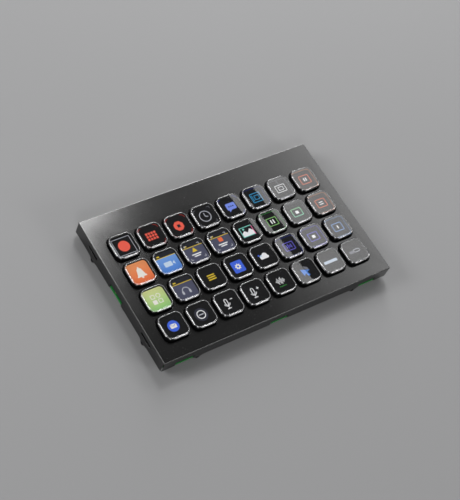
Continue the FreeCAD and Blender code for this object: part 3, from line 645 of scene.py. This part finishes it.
def grown(name, points, tree, inputs):
    """The plain piece that a tree makes of a few points."""
    seed_mesh = bpy.data.meshes.new(name + "_points")
    seed_mesh.from_pydata(points, [], [])
    seed = piece(name + "_points", seed_mesh)
    modifier = seed.modifiers.new("grow", "NODES")
    modifier.node_group = tree
    for item in tree.interface.items_tree:
        if item.in_out == "INPUT" and item.name in inputs:
            modifier[item.identifier] = inputs[item.name]
    graph = bpy.context.evaluated_depsgraph_get()
    mesh = bpy.data.meshes.new_from_object(seed.evaluated_get(graph), depsgraph=graph)
    bpy.data.objects.remove(seed)
    bpy.data.meshes.remove(seed_mesh)
    return piece(name, mesh)


def key_places():
    """The place in the grid and the centre of each key, from the solids."""
    for row in range(1, ROWS + 1):
        for column in range(1, COLUMNS + 1):
            low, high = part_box(f"key_r{row}c{column}")
            yield f"r{row}c{column}", (low + high) / 2


def swept_keys(title, points, inputs, rings=None):
    """Sweeps a profile at each key, and yields the key's place, its centre and the piece.

    Rings tells where each zone starts. Without it no zone has a finish of its own.
    """
    tree = sweep_tree()
    rings = rings or [len(points)] * len(ZONES)
    inputs.update({f"{zone} ring": ring for zone, ring in zip(ZONES, rings)})
    for place, centre in key_places():
        inputs["Centre"] = (centre.x, centre.y, 0)
        yield place, centre, grown(f"{title}_{place}", points, tree, inputs)


def cap_profile(sizes):
    """The clear cap from the middle of its recess, over the bevel and the flange, to its foot.

    With it comes the ring where each zone starts.
    """
    half = sizes.side / 2
    top = KEY_HIGH.z
    floor = top - sizes.recess
    ease = sizes.ease
    lip = half - sizes.bevel - 2 * ease
    cut = ease * math.sqrt(0.5)
    nudge = cut * (1 - math.sqrt(0.5))
    split = sizes.bevel * sizes.bright
    bevel_in = half - sizes.bevel
    bevel_low = top - sizes.bevel
    flange_low = KEY_LOW.z + sizes.drop
    flange_top = flange_low + sizes.flange
    slope = lip - sizes.recess
    crease = sizes.recess / 3
    face = [(0, floor), (slope - crease, floor), (slope, floor)]
    bevel = [
        (lip, top),
        (bevel_in - ease, top),
        (bevel_in + nudge, top - nudge),
        (bevel_in + cut, top - cut),
        (bevel_in + split, top - split),
    ]
    side = [
        (half - cut, bevel_low + cut),
        (half - nudge, bevel_low + nudge),
        (half, bevel_low - ease),
        (half, flange_top + ease),
        (half, flange_top),
    ]
    foot = [
        (half + ease, flange_top),
        (FLANGE_HALF - ease, flange_top),
        (FLANGE_HALF, flange_top - ease),
        (FLANGE_HALF, flange_low + ease),
        (FLANGE_HALF - ease, flange_low),
        (0, flange_low),
    ]
    rings = [len(zone) - 1 for zone in (face, face + bevel, face + bevel + side)]
    return [(x, 0, z) for x, z in face + bevel + side + foot], rings


def block_profile(sizes):
    """The black block under the picture, from the middle of its top to the middle of its foot."""
    half = sizes.picture_side / 2
    top = KEY_HIGH.z - sizes.picture_depth
    step = KEY_LOW.z + sizes.drop
    foot = sizes.side / 2 - sizes.inset
    ease = sizes.ease
    points = [
        (0, top),
        (half - ease, top),
        (half, top - ease),
        (half, step),
        (foot, step),
        (foot, KEY_LOW.z),
        (0, KEY_LOW.z),
    ]
    return [(x, 0, z) for x, z in points]


# Ways from the middle of a square to its corners
QUARTERS = ((1, 1), (-1, 1), (-1, -1), (1, -1))

# Shapes of the pictures. Sizes are hundredths of the picture's half side, and each shape is a list of
# regions, a region being a list of closed lines: its outline, then its holes.


def arc(x, y, radius, start, end, steps=9):
    """Points of an arc, in degrees."""
    turns = [math.radians(start + (end - start) * k / steps) for k in range(steps + 1)]
    return [(x + radius * math.cos(t), y + radius * math.sin(t)) for t in turns]


def circle(x, y, radius):
    return arc(x, y, radius, 0, 360 - 360 / CIRCLE_POINTS, CIRCLE_POINTS - 1)


def square(x, y, across, along, corner):
    """A rectangle with half sides across and along."""
    corner = min(corner, across, along)
    points = []
    for quarter, (sx, sy) in enumerate(QUARTERS):
        middle = (x + sx * (across - corner), y + sy * (along - corner))
        points += arc(*middle, corner, 90 * quarter, 90 * quarter + 90, CORNER_STEPS)
    return points


def disc(x, y, radius):
    return [[circle(x, y, radius)]]


def ring(x, y, radius, width):
    return [[circle(x, y, radius), circle(x, y, radius - width)]]


def plate(x, y, across, along, corner):
    return [[square(x, y, across, along, corner)]]


def outline(x, y, across, along, corner, width):
    inner = square(x, y, across - width, along - width, max(corner - width, width / 4))
    return [[square(x, y, across, along, corner), inner]]


def blob(*points):
    return [[list(points)]]


def regular(x, y, radius, sides):
    """A regular polygon that stands on a side."""
    start = 270 - 180 / sides
    return [[arc(x, y, radius, start, start + 360 - 360 / sides, sides - 1)]]


def band(x, y, radius, width, start, end):
    """A stretch of a ring."""
    inner = arc(x, y, radius - width, start, end)
    return [[arc(x, y, radius, start, end) + inner[::-1]]]


def stroke(x0, y0, x1, y1, width):
    """A straight line with square ends."""
    length = math.hypot(x1 - x0, y1 - y0)
    u = (x1 - x0) / length * width / 2
    v = (y1 - y0) / length * width / 2
    return [[[(x0 + v, y0 - u), (x1 + v, y1 - u), (x1 - v, y1 + u), (x0 - v, y0 + u)]]]


def brackets(reach, arm, width):
    """An angle in each corner of a square."""
    angle = [(0, 0), (0, -arm), (-width, -arm), (-width, -width), (-arm, -width), (-arm, 0)]
    return [
        [[(sx * (reach + px), sy * (reach + py)) for px, py in angle]]
        for sx in (-1, 1)
        for sy in (-1, 1)
    ]


def corners(reach, radius, width):
    """A quarter ring in each corner of a square."""
    middle = reach - radius
    regions = []
    for quarter, (sx, sy) in enumerate(QUARTERS):
        regions += band(sx * middle, sy * middle, radius, width, 90 * quarter, 90 * quarter + 90)
    return regions


def cells(x, y, across, along, columns, rows, gap):
    """A block of equal small squares."""
    width = (2 * across - gap * (columns - 1)) / columns / 2
    height = (2 * along - gap * (rows - 1)) / rows / 2
    left = x - across + width
    low = y - along + height
    return [
        [square(left + i * (2 * width + gap), low + j * (2 * height + gap), width, height, gap / 3)]
        for i in range(columns)
        for j in range(rows)
    ]


def header(foot, reach, corner):
    """The upper end of a full picture, down to a line."""
    middle = reach - corner
    left = arc(-middle, middle, corner, 90, 180, CORNER_STEPS)
    right = arc(middle, middle, corner, 0, 90, CORNER_STEPS)
    return [[right + left + [(-reach, foot), (reach, foot)]]]


def gear(x, y, radius, root, teeth):
    """A toothed wheel."""
    points = []
    for tooth in range(teeth):
        for share, distance in ((-0.27, root), (-0.18, radius), (0.18, radius), (0.27, root)):
            turn = (tooth + share) * math.tau / teeth
            points.append((x + distance * math.cos(turn), y + distance * math.sin(turn)))
    return [[points]]


def levels(x, y, pitch, width, *heights):
    """Upright bars side by side on a middle line."""
    first = x - pitch * (len(heights) - 1) / 2
    return [
        [square(first + k * pitch, y, width / 2, height, width / 2)]
        for k, height in enumerate(heights)
    ]


FULL = (0, 0, 94, 94, 30)
MICROPHONE = (
    (outline, "white", -12, 15, 15, 31, 15, 6.5), (band, "white", -12, 6, 30, 6, 190, 350),
    (stroke, "white", -12, -24, -12, -42, 6.5), (stroke, "white", -30, -44, 6, -44, 6.5),
    (stroke, "white", 30, 28, 54, 28, 6),
)
BANNER = (
    (header, "night", 50, 94, 30), (stroke, "yellow", -93, 48, 93, 48, 5.5),
    (plate, "yellow", -60, 66, 13, 5.5, 2),
)
TEXT = ((plate, "white", 0, -26, 44, 5, 3), (plate, "white", 0, -44, 30, 5, 3))

# What each key shows, from the back of its picture to the front: a shape, its ink and its sizes
PICTURES = {
    "r1c1": ((outline, "silver", 0, 0, 84, 80, 2, 4.5), (disc, "red", 0, 0, 50)),
    "r1c2": ((corners, "wine", 95, 36, 5), (cells, "red", 0, 0, 48, 37, 4, 3, 7)),
    "r1c3": (
        (corners, "wine", 95, 36, 6), (regular, "red", 0, 0, 47, 8), (plate, "night", 0, 0, 14, 14, 3),
    ),
    "r1c4": (
        (brackets, "ash", 80, 24, 4), (ring, "silver", 0, 0, 54, 7), (stroke, "silver", 0, -3, 0, 33, 7),
        (stroke, "silver", -3, 0, 24, -10, 7),
    ),
    "r1c5": (
        (corners, "navy", 96, 36, 6), (plate, "periwinkle", 0, 5, 46, 33, 12),
        (blob, "periwinkle", (-30, -20), (-34, -48), (-2, -24)), (disc, "night", -20, 5, 6.5),
        (disc, "night", 0, 5, 6.5), (disc, "night", 20, 5, 6.5),
    ),
    "r1c6": (
        (outline, "navy", 0, 0, 93, 93, 26, 3), (outline, "cyan", 0, 0, 50, 46, 7, 5.5),
        (outline, "cyan", 6, 0, 24, 22, 3, 5), (stroke, "cyan", -34, -30, -34, 30, 5),
    ),
    "r1c7": (
        (outline, "ash", 0, 0, 90, 90, 26, 4), (outline, "white", 0, 0, 50, 37, 7, 5),
        (outline, "white", 0, 0, 25, 18, 3, 4.5), (stroke, "ash", 0, 40, 0, 86, 4),
    ),
    "r1c8": (
        (outline, "orange", 0, 0, 50, 44, 8, 5.5), (outline, "amber", 0, 0, 93, 93, 28, 2.5),
        (plate, "white", -10, 0, 5, 17, 3), (plate, "white", 10, 0, 5, 17, 3),
    ),
    "r2c1": (
        (plate, "amber/orange", *FULL), (disc, "cream", 0, 16, 23),
        (blob, "cream", (-23, 16), (-36, -30), (36, -30), (23, 16)), (plate, "cream", 0, -36, 43, 6, 5),
        (disc, "cream", 0, -48, 9), (disc, "cream", 0, 43, 7),
    ),
    "r2c2": (
        (plate, "sky/azure", *FULL), *BANNER, (plate, "ice", -10, -22, 36, 22, 7),
        (blob, "ice", (30, -22), (52, -4), (52, -40)),
    ),
    "r2c3": (
        (plate, "slate", *FULL), *BANNER, (brackets, "silver", 72, 20, 5.5),
        (blob, "yellow", (-24, -2), (24, -2), (0, 40)), *TEXT,
    ),
    "r2c4": (
        (plate, "slate", *FULL), *BANNER, (brackets, "silver", 72, 20, 5.5),
        (plate, "orange", 0, 18, 20, 20, 4), *TEXT,
    ),
    "r2c5": (
        (outline, "mint", 0, 0, 62, 48, 5, 6), (stroke, "pink", 59, -48, 59, 40, 6),
        (blob, "white", (-55, -42), (-55, -10), (-28, 10), (0, -12), (28, 20), (55, -5), (55, -42)),
        (disc, "mint", -26, 27, 9),
    ),
    "r2c6": (
        (outline, "lime", 0, 0, 50, 40, 6, 5.5), (outline, "green", 0, 0, 93, 93, 28, 2.5),
        (plate, "white", -12, 0, 5.5, 20, 2), (plate, "white", 12, 0, 5.5, 20, 2),
    ),
    "r2c7": (
        (outline, "lime/mint", 0, 0, 50, 40, 7, 6), (outline, "ash", 0, 0, 92, 92, 28, 3),
        (plate, "white", 0, 0, 16, 14, 4),
    ),
    "r2c8": (
        (outline, "orange", 0, 0, 50, 42, 8, 5.5), (outline, "amber", 0, 0, 93, 93, 28, 2.5),
        (stroke, "white", -20, 10, 20, 10, 8), (stroke, "white", -20, -10, 20, -10, 8),
    ),
    "r3c1": (
        (plate, "straw/lime", *FULL), (outline, "cream", -25, 25, 19, 19, 6, 6),
        (ring, "cream", 25, 25, 20, 6), (plate, "cream", -25, -25, 19, 19, 6),
        (outline, "cream", 25, -25, 19, 19, 6, 6),
    ),
    "r3c2": (
        (plate, "slate", *FULL), *BANNER, (band, "silver", 0, -28, 36, 7, 0, 180),
        (plate, "silver", -32, -40, 9, 15, 5), (plate, "silver", 32, -40, 9, 15, 5),
    ),
    "r3c3": (
        (plate, "yellow", 0, 20, 36, 5, 4), (plate, "yellow", 0, 0, 36, 5, 4),
        (plate, "yellow", 0, -20, 36, 5, 4),
    ),
    "r3c4": (
        (plate, "blue", 0, 0, 53, 55, 13), (gear, "cream", 0, 0, 29, 21, 8), (disc, "blue", 0, 0, 10),
    ),
    "r3c5": (
        (disc, "ice", -20, -2, 20), (disc, "white", 10, 6, 25), (plate, "white", 2, -10, 42, 13, 13),
        (disc, "blue", -42, 20, 8),
    ),
    "r3c6": (
        (outline, "violet", 0, 0, 50, 40, 6, 5.5), (outline, "navy", 0, 0, 93, 93, 28, 4),
        (levels, "violet", 0, 0, 14, 7, 16, 24, 12, 20),
    ),
    "r3c7": (
        (outline, "violet", 0, 0, 50, 40, 7, 5.5), (outline, "violet", 0, 0, 92, 92, 28, 3),
        (plate, "white", 0, 0, 16, 14, 4),
    ),
    "r3c8": (
        (outline, "sky", 0, 0, 50, 40, 7, 5.5), (outline, "sky", 0, 0, 92, 92, 28, 2.5),
        (plate, "white", 0, 0, 6, 16, 3),
    ),
    "r4c1": (
        (disc, "blue", 0, 0, 50), (plate, "cream", 0, 0, 28, 19, 4), (stroke, "blue", -27, 17, 0, -3, 4.5),
        (stroke, "blue", 27, 17, 0, -3, 4.5),
    ),
    "r4c2": (
        (disc, "smoke", 0, 0, 58), (disc, "night", 0, 0, 36), (ring, "white", 0, 0, 39, 7.5),
        (plate, "silver", 0, 0, 22, 4.5, 3),
    ),
    "r4c3": MICROPHONE,
    "r4c4": (*MICROPHONE, (stroke, "white", 42, 16, 42, 40, 6)),
    "r4c5": (
        (levels, "white", 0, 8, 10, 5, 6, 16, 30, 12, 26, 34, 14, 20, 7),
        (cells, "green", 0, -42, 32, 3.5, 5, 1, 6),
    ),
    "r4c6": (
        (blob, "ash", (0, 50), (34, 30), (34, 2), (2, 18)),
        (blob, "azure", (-42, 30), (40, 2), (6, -10), (22, -40), (2, -50), (-12, -18), (-36, -36)),
    ),
    "r4c7": ((plate, "ice/silver", 0, -2, 68, 13, 3),),
    "r4c8": ((outline, "silver", 22, 2, 34, 16, 16, 6), (plate, "ash", -36, -2, 20, 14, 8)),
}


def slab(form, lines, place, levels):
    """Adds a closed plate, whose lines are its outline and its holes.

    Place puts a point of a line at a level. The faces come back, and the point of each corner.
    """
    lines = [[Vector((x, y, 0)) for x, y in line] for line in lines]
    flat = [point for line in lines for point in line]
    foot, top = [[form.verts.new(place(point, level)) for point in flat] for level in levels]
    faces = []
    for ends in tessellate_polygon(lines):
        faces.append(form.faces.new([top[i] for i in ends]))
        faces.append(form.faces.new([foot[i] for i in reversed(ends)]))
    first = 0
    for line in lines:
        count = len(line)
        for k in range(count):
            a = first + k
            b = first + (k + 1) % count
            faces.append(form.faces.new((foot[a], foot[b], top[b], top[a])))
        first += count
    bmesh.ops.recalc_face_normals(form, faces=faces)
    return faces, dict(zip(foot + top, flat * 2))


def drawn(shapes, centre, half, level, colours):
    """The lit shapes of one picture as thin closed plates, each a little above the last.

    An ink is one colour, or two with a stroke between them: the far end's and the near end's.
    """
    form = bmesh.new()
    tint = form.loops.layers.float_color.new("tint")
    spot = form.loops.layers.uv.new("picture")

    def at(point, level):
        return (centre.x + point.x * half, centre.y + point.y * half, level)

    for shape, ink, *sizes in shapes:
        far, near = [Vector(getattr(colours, name)) for name in (ink.split("/") * 2)[:2]]
        for region in shape(*sizes):
            lines = [[(x / 100, y / 100) for x, y in line] for line in region]
            faces, shares = slab(form, lines, at, (level, level + INK_THICK))
            for loop in (loop for face in faces for loop in face.loops):
                across, along = ((share + 1) / 2 for share in shares[loop.vert].xy)
                loop[tint] = (*near.lerp(far, along), 1)
                loop[spot].uv = (across, along)
        level += INK_THICK / 2
    return form


def formed(name, form, material):
    """The plain piece that a form makes."""
    mesh = bpy.data.meshes.new(name)
    form.to_mesh(mesh)
    form.free()
    mesh.materials.append(material)
    return piece(name, mesh)


def joined(name, parts):
    """Several pieces made one, with their materials kept."""
    with bpy.context.temp_override(active_object=parts[0], selected_editable_objects=parts):
        bpy.ops.object.join()
    parts[0].name = name
    parts[0].data.name = name
    return parts[0]


class KeypadOperator:
    """What all the keypad's operators share."""

    bl_options = {"REGISTER", "UNDO"}


class KEYPAD_OT_cover(KeypadOperator, bpy.types.Operator):
    """Dress the folded cover in satin powder coat, with eased edges"""

    bl_idname = "keypad.cover"
    bl_label = "Cover"

    def execute(self, context):
        case = context.scene.keypad_case
        coat = powder_coat("powder_coat", case.coat, 0.16, {"Specular IOR Level": 0.7})
        # The lighter, more metallic coat on the folds is a painted highlight: full on the rear fold,
        # dimmer on the others
        shine = {"Specular IOR Level": 1.0, "Metallic": 0.5}
        fold_highlight_coat = powder_coat("rubbed_fold", case.fold_highlight, 0.3, shine)
        dim_fold_highlight_coat = powder_coat("worn_fold", opaque(case.fold_highlight, DIM_HIGHLIGHT_SHARE), 0.3, shine)
        finishes = (coat, fold_highlight_coat, dim_fold_highlight_coat)
        cover = eased("faceplate", "cover", case.ease, finishes)
        inner = COVER_HIGH - Vector((1, 1, 1)) * case.fold
        # Upward-tilted faces near the edges of the top take the painted highlight
        for face in cover.data.polygons:
            x, y, z = face.center
            if z > inner.z and HIGHLIGHT_TILTS[0] < face.normal.z < HIGHLIGHT_TILTS[1]:
                if y > inner.y:
                    face.material_index = finishes.index(fold_highlight_coat)
                elif abs(x) > inner.x or y < -inner.y:
                    face.material_index = finishes.index(dim_fold_highlight_coat)
        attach(cover, CASE)
        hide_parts("faceplate")
        return {"FINISHED"}


class KEYPAD_OT_tray(KeypadOperator, bpy.types.Operator):
    """Dress the moulded tray at the back"""

    bl_idname = "keypad.tray"
    bl_label = "Rear tray"

    def execute(self, context):
        plastic = moulded("tray_plastic", "#1C1C1E", 0.55, 0.5, 0.03)
        tray = eased("rear_cover", "tray", context.scene.keypad_case.ease, (plastic,))
        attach(tray, CASE)
        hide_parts("rear_cover")
        return {"FINISHED"}


class KEYPAD_OT_board(KeypadOperator, bpy.types.Operator):
    """Dress the main board and put tinned pads on its tongues"""

    bl_idname = "keypad.board"
    bl_label = "Main board"

    def execute(self, context):
        case = context.scene.keypad_case
        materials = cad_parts["main_board"].data.materials
        materials.clear()
        materials.append(circuit_board("green_board", case.mask))
        y = BOARD_LOW.y + PAD_INSET
        z = BOARD_HIGH.z + PAD[2] / 2
        points = [
            (x + step * case.pad_pitch, y, z)
            for x in TONGUES
            for step in range(-PADS_ASIDE, PADS_ASIDE + 1)
        ]
        tin = worked_metal("tinned_pads", "#C8C6BE", 0.3, EVEN)
        pads = grown("tongue_pads", points, row_tree(), {"Size": PAD, "Finish": tin})
        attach(pads, CASE)
        return {"FINISHED"}


class KEYPAD_OT_inlet(KeypadOperator, bpy.types.Operator):
    """Put the gold contacts on the inlet's tongue"""

    bl_idname = "keypad.inlet"
    bl_label = "Inlet"

    def execute(self, context):
        pitch = context.scene.keypad_case.contact_pitch
        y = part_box("usb_tongue")[1].y - CONTACT[1] / 2 - CONTACT_INSET
        middle = (SOCKET_LOW.z + SOCKET_HIGH.z) / 2
        rise = (TONGUE_THICK + CONTACT[2]) / 2
        points = [
            ((step - (CONTACTS - 1) / 2) * pitch, y, middle + side * rise)
            for step in range(CONTACTS)
            for side in (-1, 1)
        ]
        gold = worked_metal("contact_gold", "#D9B25A", 0.25, EVEN)
        contacts = grown("inlet_contacts", points, row_tree(), {"Size": CONTACT, "Finish": gold})
        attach(contacts, CASE)
        return {"FINISHED"}


class KEYPAD_OT_inner(KeypadOperator, bpy.types.Operator):
    """Give each solid that is kept as it is its own finish"""

    bl_idname = "keypad.inner"
    bl_label = "Inner parts"

    def execute(self, context):
        for node, finish in inner_finishes().items():
            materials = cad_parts[node].data.materials
            materials.clear()
            materials.append(finish)
        return {"FINISHED"}


class KEYPAD_OT_mat(KeypadOperator, bpy.types.Operator):
    """Make the silicone mat, whose collars fold as the keys go down"""

    bl_idname = "keypad.mat"
    bl_label = "Silicone mat"

    def execute(self, context):
        mat = context.scene.keypad_mat
        silicone = moulded("key_silicone", "#D9DADA", constants={"Subsurface Weight": 0.2})
        low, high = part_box("key_mat")
        self.make_sheet(mat, low, high, silicone)
        head = KEY_LOW.z + context.scene.keypad_keys.drop
        self.make_collars(mat, low.z + mat.sheet, head, silicone)
        return {"FINISHED"}

    def make_sheet(self, mat, low, high, silicone):
        """The flat sheet, with a window under each key."""
        middle = (low + high) / 2 / MM
        reach = (high - low) / 2 / MM
        lines = [square(middle.x, middle.y, reach.x, reach.y, mat.corner / MM)]
        half = mat.window / 2 / MM
        for place, centre in key_places():
            lines.append(square(centre.x / MM, centre.y / MM, half, half, mat.window_corner / MM))
        form = bmesh.new()
        levels = (low.z, low.z + mat.sheet)
        slab(form, lines, lambda point, level: (point.x * MM, point.y * MM, level), levels)
        sheet = formed("mat_sheet", form, silicone)
        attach(sheet, CASE)
        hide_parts("key_mat")

    def make_collars(self, mat, foot, head, silicone):
        """A sloping ring under each flange, which keeps what the key's travel leaves of its height."""
        half = FLANGE_HALF - mat.inset
        points = [
            (half - mat.wall, 0, head),
            (half, 0, head),
            (half + mat.slope, 0, foot),
            (half + mat.slope - mat.wall, 0, foot),
            (half - mat.wall, 0, head),
        ]
        inputs = {"Half side": half, "Corner": mat.head_corner, "Steps": mat.steps, "Finish": silicone}
        for place, centre, collar in swept_keys("collar", points, inputs):
            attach(collar, CASE)
            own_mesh(collar)


class KEYPAD_OT_keys(KeypadOperator, bpy.types.Operator):
    """Make the clear caps with their bright bevels"""

    bl_idname = "keypad.keys"
    bl_label = "Clear keys"

    def execute(self, context):
        sizes = context.scene.keypad_keys
        points, rings = cap_profile(sizes)
        inputs = {
            "Half side": sizes.side / 2,
            "Corner": sizes.corner,
            "Steps": sizes.steps,
            "Finish": clear_acrylic(),
            "Bevel finish": bright_bevel(),
            "Side finish": glossy_black(),
            "Foot finish": black_paint("flange_paint", "#050505"),
        }
        for place, centre, cap in swept_keys("cap", points, inputs, rings):
            key = f"key_{place}"
            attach(cap, key)
            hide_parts(key)
        return {"FINISHED"}


class KEYPAD_OT_pictures(KeypadOperator, bpy.types.Operator):
    """Make the black blocks and the lit pictures in the keys"""

    bl_idname = "keypad.pictures"
    bl_label = "Pictures"

    def execute(self, context):
        sizes = context.scene.keypad_keys
        half = sizes.picture_side / 2
        inputs = {
            "Half side": half,
            "Corner": sizes.picture_corner,
            "Steps": sizes.steps,
            "Finish": black_paint("image_block", "#101015"),
        }
        light = lit_picture()
        level = KEY_HIGH.z - sizes.picture_depth + INK_THICK / 2
        inks = context.scene.keypad_inks
        for place, centre, block in swept_keys("block", block_profile(sizes), inputs):
            form = drawn(PICTURES[place], centre, half, level, inks)
            signs = formed(f"signs_{place}", form, light)
            picture = joined(f"picture_{place}", [block, signs])
            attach(picture, f"key_{place}")
        return {"FINISHED"}


def softbox(name, level, place, width, height, turn):
    """A rectangular lamp whose face has this radiance."""
    lamp = bpy.data.lights.new(name, "AREA")
    lamp.shape = "RECTANGLE"
    lamp.size = width
    lamp.size_y = height
    lamp.energy = level * width * height * math.pi
    made = linked(name, lamp)
    made.location = place
    if turn is None:
        way = Vector((0, 0, COVER_HIGH.z)) - Vector(place)
        made.rotation_euler = way.to_track_quat("-Z", "Y").to_euler()
    else:
        made.rotation_euler.z = turn


class KEYPAD_OT_stage(KeypadOperator, bpy.types.Operator):
    """Set up the floor, the soft lamps and the camera"""

    bl_idname = "keypad.stage"
    bl_label = "Stage"

    def execute(self, context):
        stage = context.scene.keypad_stage
        self.make_floor(stage.floor)
        for name, (place, width, height, share, turn) in LAMPS.items():
            softbox(name, stage.lamps * share, place, width, height, turn)
        self.make_world(stage.world)
        self.make_camera(stage.lens)
        return {"FINISHED"}

    def make_floor(self, colour):
        ends = (-FLOOR_HALF, FLOOR_HALF)
        mesh = bpy.data.meshes.new("floor")
        mesh.from_pydata([(x, y, 0) for y in ends for x in ends], [], [(0, 1, 3, 2)])
        floor = piece("floor", mesh)
        finish = Finish("floor_paint", {"Specular IOR Level": 0.2})
        clouds = finish.grain(400, 1.0)
        finish.colour(clouds, opaque(colour, 0.97), opaque(colour, 1.03))
        finish.roughness(0.85 + clouds * 0.1)
        mesh.materials.append(finish.material)

    def make_world(self, strength):
        world = bpy.data.worlds.new("studio")
        world.use_nodes = True
        background = world.node_tree.nodes["Background"]
        background.inputs["Color"].default_value = (1, 1, 1, 1)
        background.inputs["Strength"].default_value = strength
        bpy.context.scene.world = world
        bpy.context.scene.view_settings.view_transform = "Standard"

    def make_camera(self, lens):
        camera = bpy.data.cameras.new("camera")
        camera.lens = lens
        camera.sensor_width = 36
        camera.clip_start = 0.01
        made = linked("camera", camera)
        made.location = CAMERA_PLACE
        right = CAMERA_VIEW.cross(CAMERA_UP).normalized()
        up = right.cross(CAMERA_VIEW).normalized()
        axes = (right, up, -CAMERA_VIEW.normalized())
        made.rotation_euler = Matrix(axes).transposed().to_euler()
        bpy.context.scene.camera = made


OPERATORS = (
    KEYPAD_OT_cover,
    KEYPAD_OT_tray,
    KEYPAD_OT_board,
    KEYPAD_OT_inlet,
    KEYPAD_OT_inner,
    KEYPAD_OT_mat,
    KEYPAD_OT_keys,
    KEYPAD_OT_pictures,
    KEYPAD_OT_stage,
)
GROUPS = {
    "keypad_keys": KeypadKeys,
    "keypad_inks": KeypadInks,
    "keypad_case": KeypadCase,
    "keypad_mat": KeypadMat,
    "keypad_stage": KeypadStage,
}


class KEYPAD_PT_panel(bpy.types.Panel):
    """Lists the keypad's sizes, colours and operators."""

    bl_idname = "KEYPAD_PT_panel"
    bl_label = "Display keypad"
    bl_space_type = "VIEW_3D"
    bl_region_type = "UI"
    bl_category = "Keypad"

    def draw(self, context):
        for operator in OPERATORS:
            self.layout.operator(operator.bl_idname)
        for name, group in GROUPS.items():
            column = self.layout.column(heading=group.__doc__)
            for field in group.__annotations__:
                column.prop(getattr(context.scene, name), field)


def register():
    for group in GROUPS.values():
        bpy.utils.register_class(group)
    for name, group in GROUPS.items():
        setattr(bpy.types.Scene, name, PointerProperty(type=group))
    for part in (*OPERATORS, KEYPAD_PT_panel):
        bpy.utils.register_class(part)


def unregister():
    for part in (KEYPAD_PT_panel, *reversed(OPERATORS)):
        bpy.utils.unregister_class(part)
    for name, group in GROUPS.items():
        delattr(bpy.types.Scene, name)
        bpy.utils.unregister_class(group)


def main():
    register()
    for operator in OPERATORS:
        getattr(bpy.ops.keypad, operator.bl_idname.split(".")[1])()


if __name__ == "__main__":
    main()
